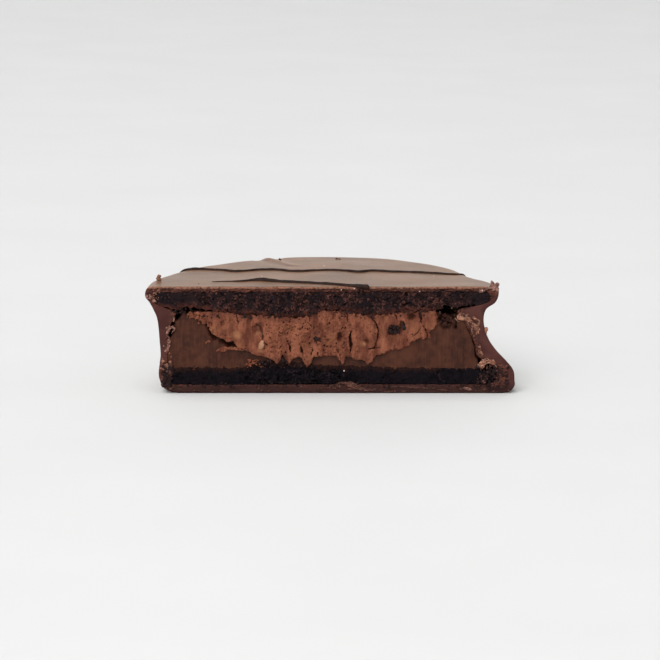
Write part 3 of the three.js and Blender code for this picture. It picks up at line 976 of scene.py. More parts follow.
def cracked(net, cracks):
    """Depth of cracks, each (places, half width, depth), and the painted shade in them, more in deeper ones.
    """
    spots = at_depth(net, 0)
    x, up = net[..., 0] + 0.16 * layered(spots, 0.6, 75), net[..., 1]
    uneven = 1 + 0.5 * clouds(spots, 0.8, 78)
    deep, shade = 0 * x, 0 * x
    for places, half, depth in cracks:
        away, along = beside(x, up, places)
        open_half = half * np.sqrt(np.clip(4 * along * (1 - along), 0.08, 1)) * uneven
        inside = fall(0.35, 1.25, away / np.maximum(open_half, 0.03))
        deep = np.maximum(deep, depth * inside)
        shade = np.maximum(shade, inside * min(1.0, 0.35 + depth))
    return deep, shade


def pitted(net, count, seed, low, high, sizes, depth):
    """Many little pits, most of them taller than they are wide, strewn over a part of the cut."""
    rng = np.random.default_rng(seed)
    x, up = net[..., 0], net[..., 1]
    torn = 0.45 * clouds(at_depth(net, 0), 0.2, seed)
    deep = 0 * x
    for _ in range(count):
        at_x, at_up = rng.uniform(low[0], high[0]), rng.uniform(low[1], high[1])
        size, tall, lean = rng.uniform(*sizes), rng.uniform(0.6, 2.4), rng.normal(0, 0.5)
        near_x = np.abs(x - at_x) < 4 * size * tall
        away = np.hypot((x - at_x - lean * (up - at_up)) / size, (up - at_up) / (size * tall))
        pit = depth * (0.5 + size) * fall(0.4, 1.1, away + torn)
        deep = np.where(near_x, np.maximum(deep, pit), deep)
    return deep


# Hollows that the knife left beside the fillings, and those in the torn light filling.
SIDE_HOLLOWS = (
    (-28.5, 14.7, 1.1, 0.75, 40, 3.5), (-26.2, 15.6, 0.95, 0.62, 5, 3.0), (-29.3, 13.2, 0.35, 0.45, 30, 2.0),
    (-29.5, 11.6, 0.55, 1.2, -25, 2.5), (22.4, 15.3, 2.4, 0.75, 0, 4.0), (21.7, 14.2, 1.6, 1.5, 12, 1.25),
    (21.6, 12.8, 0.9, 0.8, 30, 0.8), (22.9, 13.6, 0.6, 1.4, 20, 1.5), (26.0, 12.0, 0.35, 1.0, 20, 1.7),
    (26.8, 10.0, 0.3, 1.2, 12, 1.7), (27.3, 7.6, 0.35, 1.2, 5, 1.7), (-18.9, 9.7, 1.9, 0.75, -22, 1.2),
    (-21.9, 11.6, 0.6, 1.7, 22, 1.1), (-22.9, 13.6, 0.45, 0.9, 20, 0.9),
)
CORE_HOLLOWS = (
    (1.8, 10.6, 0.42, 0.95, 0, 0.9), (6.9, 9.9, 0.4, 0.4, 0, 0.6), (15.1, 14.5, 0.65, 0.6, 0, 0.9),
    (-13.3, 12.2, 0.9, 1.2, 0, 0.7), (11.8, 12.0, 1.1, 0.75, 15, 0.8), (13.4, 12.8, 0.45, 0.9, 0, 0.8),
    (-2.4, 10.2, 0.65, 0.4, 0, 0.4), (-22.2, 13.0, 0.35, 0.5, 0, 0.5), (-19.9, 13.3, 0.3, 0.4, 0, 0.45),
    (-0.4, 10.0, 0.25, 0.35, 0, 0.5), (-5.6, 12.2, 0.25, 0.2, 0, 0.4), (0.8, 14.6, 0.3, 0.7, 0, 0.6),
    (-16.2, 15.4, 0.3, 0.6, 0, 0.5), (10.5, 14.9, 0.3, 0.6, 0, 0.5), (5.0, 14.6, 0.4, 0.3, 0, 0.4),
    (-24.2, 14.6, 0.3, 0.25, 0, 0.5), (1.5, 8.2, 0.4, 0.25, 0, 0.5), (-9.4, 10.9, 0.2, 0.3, 0, 0.45),
)
# Cracks in the light filling, as (places, half width, depth).
CORE_CRACKS = (
    (((-13.75, 13.3), (-12.95, 12.5), (-12.5, 11.3), (-12.5, 10.3)), 0.34, 0.42),
    (((3.9, 11.9), (3.7, 10.6), (3.95, 9.2), (3.8, 7.8)), 0.26, 1.0),
    (((7.0, 14.9), (8.5, 13.4), (8.95, 12.2), (8.8, 10.4), (8.3, 8.6)), 0.13, 0.7),
    (((8.3, 8.8), (7.2, 8.4), (9.4, 8.7)), 0.12, 0.5),
    (((3.1, 15.5), (3.3, 13.5)), 0.13, 0.5),
    (((16.6, 15.4), (17.0, 13.4)), 0.22, 0.8),
    (((17.3, 12.9), (18.1, 11.2), (18.0, 9.9)), 0.13, 0.5),
    (((17.0, 12.9), (16.4, 11.6), (15.0, 10.6)), 0.1, 0.3),
    (((-7.55, 9.2), (-7.35, 7.8)), 0.17, 0.8),
    (((-5.5, 8.9), (-5.1, 7.6)), 0.2, 0.8),
    (((-9.0, 11.2), (-7.6, 12.3), (-6.3, 12.7)), 0.08, 0.18),
    (((-9.6, 10.6), (-8.0, 11.6)), 0.08, 0.15),
    (((-17.3, 15.0), (-17.0, 13.2)), 0.12, 0.35),
    (((-3.6, 14.9), (-3.9, 13.6)), 0.1, 0.35),
    (((12.0, 15.2), (12.5, 14.0)), 0.13, 0.5),
)
# Places with ground nut near the surface of the light filling, as (x, up, reach).
NUTTY = ((-17.3, 11.1, 0.95), (-12.9, 8.3, 0.7), (6.2, 9.4, 0.6), (-13.4, 11.4, 0.45))
# Outlines of the fillings: below, above, up the left end, up the right end.
CORE_LOW = (
    (-21.3, 10.9), (-19.9, 10.3), (-19.0, 9.8), (-17.3, 9.6), (-17.0, 8.6), (-15.6, 8.0), (-13.9, 7.3),
    (-12.5, 6.9), (-10.8, 6.3), (-9.5, 5.7), (-8.7, 6.9), (-7.5, 5.3), (-6.7, 6.6), (-5.6, 6.7), (-4.1, 4.9),
    (-2.9, 6.8), (-0.7, 6.9), (1.1, 6.8), (2.4, 5.6), (3.4, 6.8), (4.7, 6.4), (6.2, 6.0), (7.0, 5.3),
    (8.4, 6.7), (10.4, 7.7), (11.5, 8.0), (14.3, 8.7), (15.9, 10.0), (17.5, 10.2), (18.9, 10.5),
)
CORE_LEFT = ((-21.3, 10.9), (-22.0, 11.4), (-22.7, 13.0), (-23.4, 14.0), (-25.4, 15.2))
CORE_RIGHT = ((18.9, 10.5), (18.7, 11.8), (19.7, 12.8), (19.9, 14.4), (19.6, 15.8))
CORE_ROOF = ((-25.4, 15.2), *UNDERSIDE[5:14], (19.6, 15.8))
LIGHT_FILLING = (CORE_LOW, CORE_ROOF, CORE_LEFT, CORE_RIGHT)
DARK_FILLING = (
    ((-30.5, 4.2), (-20.0, 4.2), (-10.0, 4.3), (0.0, 4.2), (12.0, 4.1), (20.0, 4.0), (28.1, 4.0)),
    ((-28.3, 15.9), (-26.0, 15.6), (-20, 15.3), (-12, 14.9), (-4, 14.9), (4, 15.4), (14, 15.4), (19.3, 15.6),
     (20.6, 14.9), (22.0, 14.7), (23.3, 15.1), (24.4, 14.9)),
    ((-30.5, 4.2), (-30.5, 8), (-30.4, 10.5), (-30.1, 12.5), (-29.4, 14.2), (-28.3, 15.9)),
    ((28.1, 4.0), (27.4, 6.8), (27.1, 9.0), (26.3, 11.0), (25.3, 13.2), (24.4, 14.9)),
)
LIGHT_FILLING_NET, DARK_FILLING_NET = (460, 104), (400, 80)
# Random hills on the dark filling, its upright smears, and the facets and slow hills of the light filling.
DARK_HILLS = ((0.16, 5, 81), (0.08, 1.6, 82, (1, 1, 2)), (0.02, 0.5, 83))
DARK_SMEARS = ((0.03, 0.8, 84, (1, 1, 7)),)
LIGHT_FACETS = ((0.34, 1.8, 91, (1, 1, 2.6)), (0.17, 0.8, 92, (1, 1, 1.8)))
LIGHT_HILLS = ((0.18, 4.0, 95),)


def bowl(places):
    """Depth of the far side of the light filling, which sits in the dark one as in a bowl."""
    reach = 9.5 + 13.6 * unit((places[..., 1] - 5.5) / 9.5)
    return np.sqrt(np.maximum(0.3, reach ** 2 - (places[..., 0] - AXIS - 1.0) ** 2))


def inside_core(net):
    """How far each place lies inside the outline of the light filling, from its left, its right and below."""
    x, up = net[..., 0], net[..., 1]
    low = np.array(CORE_LOW)
    over = up - np.interp(x, low[:, 0], low[:, 1])
    left, right = np.array(CORE_LEFT), np.array(CORE_RIGHT)
    from_left = x - np.interp(up, left[:, 1], left[:, 0])
    from_right = np.interp(up, right[:, 1], right[:, 0]) - x
    return np.minimum(over, np.minimum(from_left, from_right))


def dark_filling():
    """Smooth filling with hollows, hollowed out behind for the light filling to sit in."""
    net = patch(*DARK_FILLING, *DARK_FILLING_NET)
    x, up = net[..., 0], net[..., 1]
    spots = at_depth(net, 0)
    height = hills(spots, DARK_HILLS)
    hollow, shade = dented(net, SIDE_HOLLOWS)
    torn_edge = rolled(from_edge(net), 0.45, 0.4)
    deep = 0.3 - height - hills(spots, DARK_SMEARS) + hollow + torn_edge
    # The bowl behind the light filling.
    under = rise(0.25, 0.6, inside_core(net))
    deep = np.where(under > 0, np.maximum(deep, under * (bowl(net) + 0.15)), deep)
    loops = behind(net, deep, round_back(FILLING_RADIUS))
    # Painted shadow below the overhanging edge of the light filling, and painted shade under the roof at the
    # left, kept in the hollow mark with the painted shade of the hollows.
    shadow = 0.45 * rise(-2.2, -0.3, inside_core(net)) * fall(9, 13, x) * fall(8, 10, up)
    from_roof = net[:, -1:, 1] - up + 0.8 * layered(spots, 1.5, 85, 2)
    shadow = np.maximum(shadow, 0.5 * fall(0.3, 2.4, from_roof) * fall(-24, -21, x))
    return loops, sheet_marks(loops, hollow=np.maximum(shade, shadow), height=spread(height))


def light_filling():
    """Torn filling: facets, grit, cracks, hollows and pits on its cut, and a bowl-shaped back."""
    net = ragged(patch(*LIGHT_FILLING, *LIGHT_FILLING_NET), 0.7, 0.3, 0.7, 89)
    x, up = net[..., 0], net[..., 1]
    spots = at_depth(net, 0)
    middle = rise(-15, -9, x) * fall(3, 9, x)
    grit = (0.05 + 0.08 * middle) * clouds(spots, 0.5, 93)
    grit = grit + (0.03 + 0.04 * middle) * clouds(spots, 0.24, 94)
    height = hills(spots, LIGHT_FACETS) + grit + hills(spots, LIGHT_HILLS)
    hollow, shade = dented(net, CORE_HOLLOWS)
    crack, crack_shade = cracked(net, CORE_CRACKS)
    # Pits in the middle, and shallower ones all over. The shade reaches up from below in teeth.
    pits = pitted(net, 120, 96, (-12.5, 7.5), (4, 15), (0.05, 0.15), 0.8)
    pits = np.maximum(pits, pitted(net, 110, 97, (-24, 7), (19, 15.4), (0.05, 0.13), 0.6))
    teeth = 0.4 * fall(6.0, 9.0, up + layered(spots, 1.2, 100, 2)) * fall(10, 13, x)
    # The painted shade, kept in the hollow mark: hollows, cracks, pits and the teeth from below.
    shade = np.maximum.reduce((shade, crack_shade, unit(pits * 1.8), teeth))
    fringe = unit(0.45 - from_edge(net)) * 0.8 * layered(spots, 0.8, 98, 2)
    near_roof = fall(0.25, 1.3, net[:, -1:, 1] - up + 0.3 * layered(spots, 1.1, 99, 2))
    torn_edge = (rolled(from_edge(net), 0.5, 0.75) + fringe) * (1 - 0.75 * near_roof)
    deep = -0.3 - height + np.maximum.reduce((hollow, crack, pits)) + torn_edge
    loops = behind(net, deep, bowl, rows=range(-1, -net.shape[1], -12), rings=(0.25, 0.6))
    nutty = sum(bell(np.hypot(x - nut_x, up - nut_up), 0, reach) for nut_x, nut_up, reach in NUTTY)
    return loops, sheet_marks(loops, hollow=shade, height=spread(height), nutty=nutty, stained=near_roof)


# ---- things grown by Geometry Nodes ----

# Inputs of the trees below, by name.
INPUTS = {
    "Geometry": "NodeSocketGeometry",
    "Hill Size": "NodeSocketFloat",
    "Hill Height": "NodeSocketFloat",
    "Finish": "NodeSocketMaterial",
}


def grower(name, build):
    """A Geometry Nodes tree with the inputs above, whose shape comes from build(graph, take)."""
    nodes = bpy.data.node_groups.new(name, "GeometryNodeTree")
    nodes.interface.new_socket("Geometry", in_out="OUTPUT", socket_type=INPUTS["Geometry"])
    for label, kind in INPUTS.items():
        nodes.interface.new_socket(label, in_out="INPUT", socket_type=kind)
    graph = Graph(nodes)
    shape = build(graph, lambda label: graph.node("NodeGroupInput", out=label))
    whole = graph.node("GeometryNodeRealizeInstances", {}, {"Geometry": shape})
    dressed = {"Geometry": whole, "Material": graph.node("NodeGroupInput", out="Finish")}
    graph.node("NodeGroupOutput", {}, {"Geometry": graph.node("GeometryNodeSetMaterial", {}, dressed)})
    return nodes


def scaled(graph, vector, size):
    """A vector times a number."""
    return graph.node("ShaderNodeVectorMath", {"operation": "SCALE"}, {"Vector": vector, "Scale": size})


def random_vector(graph, low, high, seed):
    """Three random numbers between low and high for every seed of a piece."""
    values = {"Min": (low,) * 3, "Max": (high,) * 3, "Seed": seed}
    return graph.node("FunctionNodeRandomValue", {"data_type": "FLOAT_VECTOR"}, values)


def kept_number(graph, name):
    """A number that each seed keeps."""
    return graph.node("GeometryNodeInputNamedAttribute", {"data_type": "FLOAT"}, {"Name": name})


def smooth(graph, shape, smoothly):
    """A shape whose faces are shaded smoothly or flat."""
    values = {"Geometry": shape, "Shade Smooth": smoothly}
    return graph.node("GeometryNodeSetShadeSmooth", {}, values)


def roughened(graph, shape, size, tall):
    """A shape whose skin is moved in and out by random hills."""
    where = graph.node("GeometryNodeInputPosition")
    scale = graph.node("ShaderNodeMath", {"operation": "DIVIDE"}, {0: 1.0, 1: size})
    lumps = graph.node("ShaderNodeTexNoise", {}, {"Vector": where, "Scale": scale, "Detail": 2.0}, out="Fac")
    offset = scaled(graph, graph.node("GeometryNodeInputNormal"), (lumps - 0.5) * tall)
    return graph.node("GeometryNodeSetPosition", {}, {"Geometry": shape, "Offset": offset})


# Sides of a thread. A crumb is turned by up to this angle and stretched by between these, along each axis.
THREAD_SIDES = 18
CRUMB_TURN = 6.3
CRUMB_STRETCH = (0.6, 1.25)


def thread_shape(graph, take):
    """A round thread along a line, as thick as its `half` mark says."""
    curve = graph.node("GeometryNodeMeshToCurve", {}, {"Mesh": take("Geometry")})
    ring = graph.node("GeometryNodeCurvePrimitiveCircle", {}, {"Resolution": THREAD_SIDES, "Radius": 1.0})
    values = {"Curve": curve, "Profile Curve": ring, "Scale": kept_number(graph, "half"), "Fill Caps": True}
    tube = graph.node("GeometryNodeCurveToMesh", {}, values)
    return smooth(graph, roughened(graph, tube, take("Hill Size"), take("Hill Height")), True)


def crumb_shape(graph, take):
    """A rough lump at every seed, as big as its `size` mark says."""
    lump = graph.node("GeometryNodeMeshIcoSphere", {}, {"Radius": 1.0, "Subdivisions": 2})
    size = kept_number(graph, "size")
    turn = random_vector(graph, 0, CRUMB_TURN, 3)
    scale = scaled(graph, random_vector(graph, *CRUMB_STRETCH, 4), size)
    values = {"Points": take("Geometry"), "Instance": lump, "Rotation": turn, "Scale": scale}
    lumps = graph.node("GeometryNodeInstanceOnPoints", {}, values)
    whole = graph.node("GeometryNodeRealizeInstances", {}, {"Geometry": lumps})
    return smooth(graph, roughened(graph, whole, size * take("Hill Size"), size * take("Hill Height")), False)


THREAD = grower("thread", thread_shape)
CRUMBS = grower("crumbs", crumb_shape)


def grown(name, tree, places, marks, inputs, edges=()):
    """A plain mesh piece from seeds at places, grown by a tree."""
    mesh = bpy.data.meshes.new(name + "_seeds")
    mesh.from_pydata(metres(places).tolist(), edges, [])
    add_marks(mesh, marks)
    seeds = linked(name + "_seeds", mesh)
    modifier = seeds.modifiers.new("grow", "NODES")
    modifier.node_group = tree
    for item in tree.interface.items_tree:
        if item.in_out == "INPUT" and item.name in inputs:
            modifier[item.identifier] = inputs[item.name]
    whole = bpy.data.meshes.new_from_object(seeds.evaluated_get(bpy.context.evaluated_depsgraph_get()))
    bpy.data.objects.remove(seeds)
    whole.name = name
    return linked(name, whole)


# ---- drizzle ----

# Threads on the coat laid flat, as (x from the axis, deep, half thickness). Past the rim they run down it.
BACK_THREAD = (
    (-37.4, 24.4, 1.06), (-36.5, 23.7, 0.94), (-35.3, 22.6, 0.62), (-32.6, 20.6, 0.55), (-29.6, 18.8, 0.53),
    (-27.4, 18.0, 0.47), (-26.0, 17.9, 0.43), (-24.7, 18.1, 0.43), (-23.0, 17.8, 0.40), (-21.0, 17.3, 0.35),
    (-18.9, 16.7, 0.38), (-16.7, 15.6, 0.38), (-14.7, 15.7, 0.35), (-11.8, 16.6, 0.38), (-8.0, 16.5, 0.35),
    (-6.0, 15.3, 0.38), (-4.1, 15.1, 0.40), (-1.2, 16.0, 0.35), (1.8, 16.2, 0.35), (4.4, 15.3, 0.38),
    (7.3, 14.2, 0.43), (9.3, 15.5, 0.35), (11.7, 15.3, 0.38), (15.3, 15.0, 0.35), (19.0, 14.4, 0.38),
    (22.1, 13.6, 0.38), (24.2, 13.4, 0.32), (25.8, 13.8, 0.26), (27.4, 14.4, 0.24), (29.6, 15.0, 0.3),
    (32.4, 15.3, 0.42), (35.4, 16.0, 0.5), (36.8, 16.3, 0.62), (37.8, 16.5, 0.66),
)
FRONT_THREAD = (
    (-20.6, 4.7, 0.1), (-18.6, 4.9, 0.14), (-16.6, 5.1, 0.2), (-14.9, 5.3, 0.3), (-13.0, 5.9, 0.42),
    (-11.4, 6.1, 0.66), (-9.9, 5.4, 0.52), (-7.8, 4.6, 0.46), (-4.2, 3.8, 0.42), (-0.6, 3.3, 0.44),
    (2.4, 2.2, 0.46), (4.4, 1.1, 0.46), (6.7, 0.4, 0.5), (8.8, -0.1, 0.5),
)
# Millimetres between the points of a thread, how far its middle lies outside the coat, as a share of its
# half thickness, and the steps in which it is followed down the side.
THREAD_STEP = 0.15
THREAD_LIFT = -0.05
SIDE_ROWS = 120


def on_skin(flat_x, flat_deep):
    """Places on the coat under a plan that is laid flat from its top over the rim and down its side."""
    angle, run = np.arctan2(flat_deep, flat_x), np.hypot(flat_x, flat_deep)
    steps = np.r_[2.0, np.linspace(1, 0, SIDE_ROWS)]
    lines = folded(plain_skin(OUTER, *np.broadcast_arrays(angle[:, None], steps)))
    far = np.cumsum(np.linalg.norm(np.diff(lines, axis=1, prepend=lines[:, :1]), axis=-1), axis=1)
    flat = folded(np.stack((flat_x + AXIS, flat_deep, np.full(run.shape, TOP)), -1))
    side = [[np.interp(r, way, line[:, n]) for n in range(3)] for r, way, line in zip(run, far, lines)]
    return np.where((run <= far[:, 1])[:, None], flat, np.array(side))


def drizzle(name, path, seed):
    """A thread of chocolate over the coat, with rounded ends."""
    length = np.sum(strides([row[:2] for row in path]))
    count = 2 * int(length / (2 * THREAD_STEP))
    line = through(path, np.linspace(0, 1, count))
    flat, half = line[:, :2], line[:, 2]
    sway = np.stack((flat[:, 0], flat[:, 1], 0 * half), -1)
    flat_deep = flat[:, 1] + 0.16 * clouds(sway, 3.0, seed)
    half = half * (1 + 0.14 * clouds(sway, 1.7, seed + 1))
    along = np.linspace(0, 1, count) * count * THREAD_STEP
    for from_end, end in ((along, 0), (along[::-1], -1)):
        part = np.clip(from_end / np.maximum(half[end], 0.2), 0.02, 1)
        half = half * np.sqrt(1 - (1 - part) ** 2)
    places = on_skin(flat[:, 0], flat_deep)
    places = places + outward(places) * (half * THREAD_LIFT)[:, None]
    edges = [(n, n + 1) for n in range(count - 1)]
    inputs = {"Hill Size": 0.9 * MM, "Hill Height": 0.1 * MM, "Finish": FINISH["drizzled_chocolate"]}
    return grown(name, THREAD, places, {"half": half * MM}, inputs, edges)


# ---- crumbs, flakes and shavings ----


def mostly_small(rng, count, sizes):
    """Sizes between two ends of a range, most of them near its low end."""
    return sizes[0] + (sizes[1] - sizes[0]) * rng.random(count) ** 2


def strewn(rng, count, low, high, deep, sizes):
    """Random places (x, deep, up) with sizes over a part of the cut."""
    x = rng.uniform(low[0], high[0], count)
    depth = rng.uniform(*deep, count)
    up = rng.uniform(low[1], high[1], count)
    return np.stack((x, depth, up), -1), mostly_small(rng, count, sizes)


def strewn_along(rng, count, line, away, deep, sizes):
    """Random places with sizes close to a line on the cut."""
    places = through(line, rng.random(count)) + rng.normal(0, away, (count, 2))
    return at_depth(places, rng.uniform(*deep, count)), mostly_small(rng, count, sizes)


# Steps up the side of the coat at its back, and how high each is.
SIDE_STEPS = np.linspace(0, 1, 60)
SIDE_UPS = side_at(OUTER, np.full(len(SIDE_STEPS), math.pi / 2), SIDE_STEPS)[:, 1]


def round_foot(rng, count, turn, up, sizes):
    """Random places with sizes on the outside of the foot, between two angles in degrees."""
    angle = np.radians(rng.uniform(*turn, count))
    up = rng.uniform(*up, count)
    radius = side_at(OUTER, angle, np.interp(up, SIDE_UPS, SIDE_STEPS))[:, 0]
    return folded(round_axis(angle, radius, up)), mostly_small(rng, count, sizes)


def placed(_, *rows):
    """Places and sizes from rows of (x, deep, up, size)."""
    rows = np.array(rows)
    return rows[:, :3], rows[:, 3]


def crumbs(name, finish_name, seed, hill, groups):
    """A piece of rough crumbs from groups of (maker, *how many and where), as rough as `hill` says."""
    rng = np.random.default_rng(seed)
    parts = [maker(rng, *how) for maker, *how in groups]
    places, sizes = (np.concatenate(whole) for whole in zip(*parts))
    # An even height mark, so crumbs get no painted highlight or shade.
    marks = {"size": sizes * MM, "own": rng.random(len(sizes)), "height": np.full(len(sizes), 0.5)}
    inputs = {"Hill Size": 0.9, "Hill Height": hill, "Finish": FINISH[finish_name]}
    return grown(name, CRUMBS, places, marks, inputs)


# Shavings: pleats in each millimetre of length, millimetres between their points, and points across them.
PLEAT_RATE = 1.5
SHAVING_STEP = 0.07
SHAVING_ACROSS = 15
# Thickness, crumple, pleats and point of a flake.
FLAKE_SHAPE = (0.09, 0.14, 0.1, 0.5)


def shaving(path, half, deep, seed, thick, crumple, pleats, point=0.0):
    """A crumpled strip that the knife peeled off, along a line on the cut, and how raised its places are, for
    a painted highlight on its crests and painted shade in its folds.

    pleats is how deep its cross folds are, and point how far its far end narrows.
    """
    length = np.sum(strides(path))
    count = max(12, int(length / SHAVING_STEP))
    along = np.linspace(0, 1, count)
    line = through(path, along)
    step = np.gradient(line, axis=0)
    normal = np.stack((-step[:, 1], step[:, 0]), -1) / np.linalg.norm(step, axis=1, keepdims=True)
    across = np.linspace(-1, 1, SHAVING_ACROSS)
    spots = at_depth(line, seed)
    taper = np.sqrt(np.clip(1 - (2 * along - 1) ** 6, 0.02, 1)) * (1 - point * along)
    taper = taper * (1 + 0.5 * layered(spots, 0.9, seed, 2))
    place = line[:, None] + normal[:, None] * (across[:, None] * (half * taper)[:, None, None])
    where = at_depth(place, 0.7 * seed)
    place = place + 0.08 * np.stack((clouds(where, 0.7, seed + 1), clouds(where, 0.7, seed + 2)), -1)
    lean = 1.6 * clouds(spots, 1.5, seed + 6)[:, None]
    turns = along[:, None] * length * PLEAT_RATE + 1.3 * layered(where, 0.9, seed + 7, 2)
    turns = turns + lean * across
    zigzag = 2 * np.abs(2 * (turns - np.floor(turns)) - 1) - 1
    pleated = pleats * zigzag * (1 + 0.8 * clouds(where, 0.9, seed + 9))
    folds = crumple * layered(where, 1.0, seed + 3, 2) + pleated
    front = deep + folds - 0.25 * half * (1 - across ** 2)
    sheet = at_depth(place, front)
    thin = thick * (1 - 0.8 * np.abs(across) ** 3)
    back = sheet + thin[:, None] * BACK
    raised = spread(-folds)
    points, faces = skin(np.concatenate((sheet, back[:, ::-1]), 1))
    return points, faces, np.concatenate((raised, raised[:, ::-1]), 1).ravel()


def flakes(path, count, length, half, spread_out, seed, lift=0.3, loose=0.5):
    """Short curled strips that lie over each other along a line on the cut."""
    rng = np.random.default_rng(seed)
    shares = (np.arange(count) + rng.random(count)) / count
    line, ahead = through(path, shares), through(path, np.minimum(shares + 0.02, 1.02))
    strips = []
    for n, (x, up) in enumerate(line + rng.normal(0, spread_out, (count, 2))):
        turn = math.atan2(*(ahead[n] - line[n])[::-1]) + rng.normal(0, loose)
        reach = length * rng.uniform(0.35, 0.7)
        along, aside = np.array((math.cos(turn), math.sin(turn))), np.array((-math.sin(turn), math.cos(turn)))
        middle = np.array((x, up))
        ends = (middle - along * reach, middle + aside * rng.normal(0, 0.25) * length, middle + along * reach)
        wide, deep = half * rng.uniform(0.6, 1.4), rng.uniform(-lift, 0.05)
        strips.append((ends, wide, deep, seed + n, *FLAKE_SHAPE))
    return strips


def shavings(name, finish_name, strips):
    """A piece of shavings, each with a tone of its own."""
    bodies = [shaving(*strip) for strip in strips]
    rng = np.random.default_rng(len(strips))
    own = np.concatenate([np.full(len(points), rng.random()) for points, _, _ in bodies])
    # How raised each place is, for painted highlight and shade.
    height = np.concatenate([raised for _, _, raised in bodies])
    return mesh_piece(name, [body[:2] for body in bodies], finish_name, {"own": own, "height": height})


# ---- the half ----

shell, shell_marks = coat_shell()
keep(mesh_piece("coat", [shell], "satin_chocolate", shell_marks), "chocolate_coat", "coating")

# The cut edge has the coat's own finish outside and inside, and that of cut chocolate on its face.
edge_loops, edge_marks = coat_cut()
edge = mesh_piece("coat_cut_edge", [skin(edge_loops, closed=True)], "satin_chocolate", edge_marks)
edge.data.materials.append(FINISH["cut_chocolate"])
along_count, across_count = edge_loops.shape[:2]
on_face = np.isin(np.arange(across_count), np.arange(len(EDGE_OUTSIDE) - 1, across_count - 1))
edge.data.polygons.foreach_set("material_index", np.tile(on_face, along_count).astype(np.int32))
keep(edge, "chocolate_coat")

# Layers, as (name, slot, node of the part, finish, loops and marks).
LAYERS = (
    ("dark_top_biscuit", "cocoa_biscuit", "top_biscuit", "dark_crumb",
     biscuit(TOP_BISCUIT, TOP_BISCUIT_NET, TOP_BISCUIT_RADIUS,
             front=0.08, torn=0.42, stain_below=True, seed=101)),
    ("dark_bottom_biscuit", "cocoa_biscuit", "bottom_biscuit", "black_crumb",
     biscuit(BOTTOM_BISCUIT, BOTTOM_BISCUIT_NET, BOTTOM_BISCUIT_RADIUS,
             front=0.18, torn=0.24, stain_below=False, seed=131)),
    ("smooth_dark_filling", "dark_filling", "dark_filling", "smeared_filling", dark_filling()),
    ("torn_light_filling", "light_filling", "light_filling", "torn_filling", light_filling()),
)
for name, slot, node, finish_name, (loops, marks) in LAYERS:
    keep(mesh_piece(name, [skin(loops)], finish_name, marks), slot, node)

keep(drizzle("back_drizzle", BACK_THREAD, 151), "drizzle", "drizzle_back")
keep(drizzle("front_drizzle", FRONT_THREAD, 161), "drizzle", "drizzle_front")

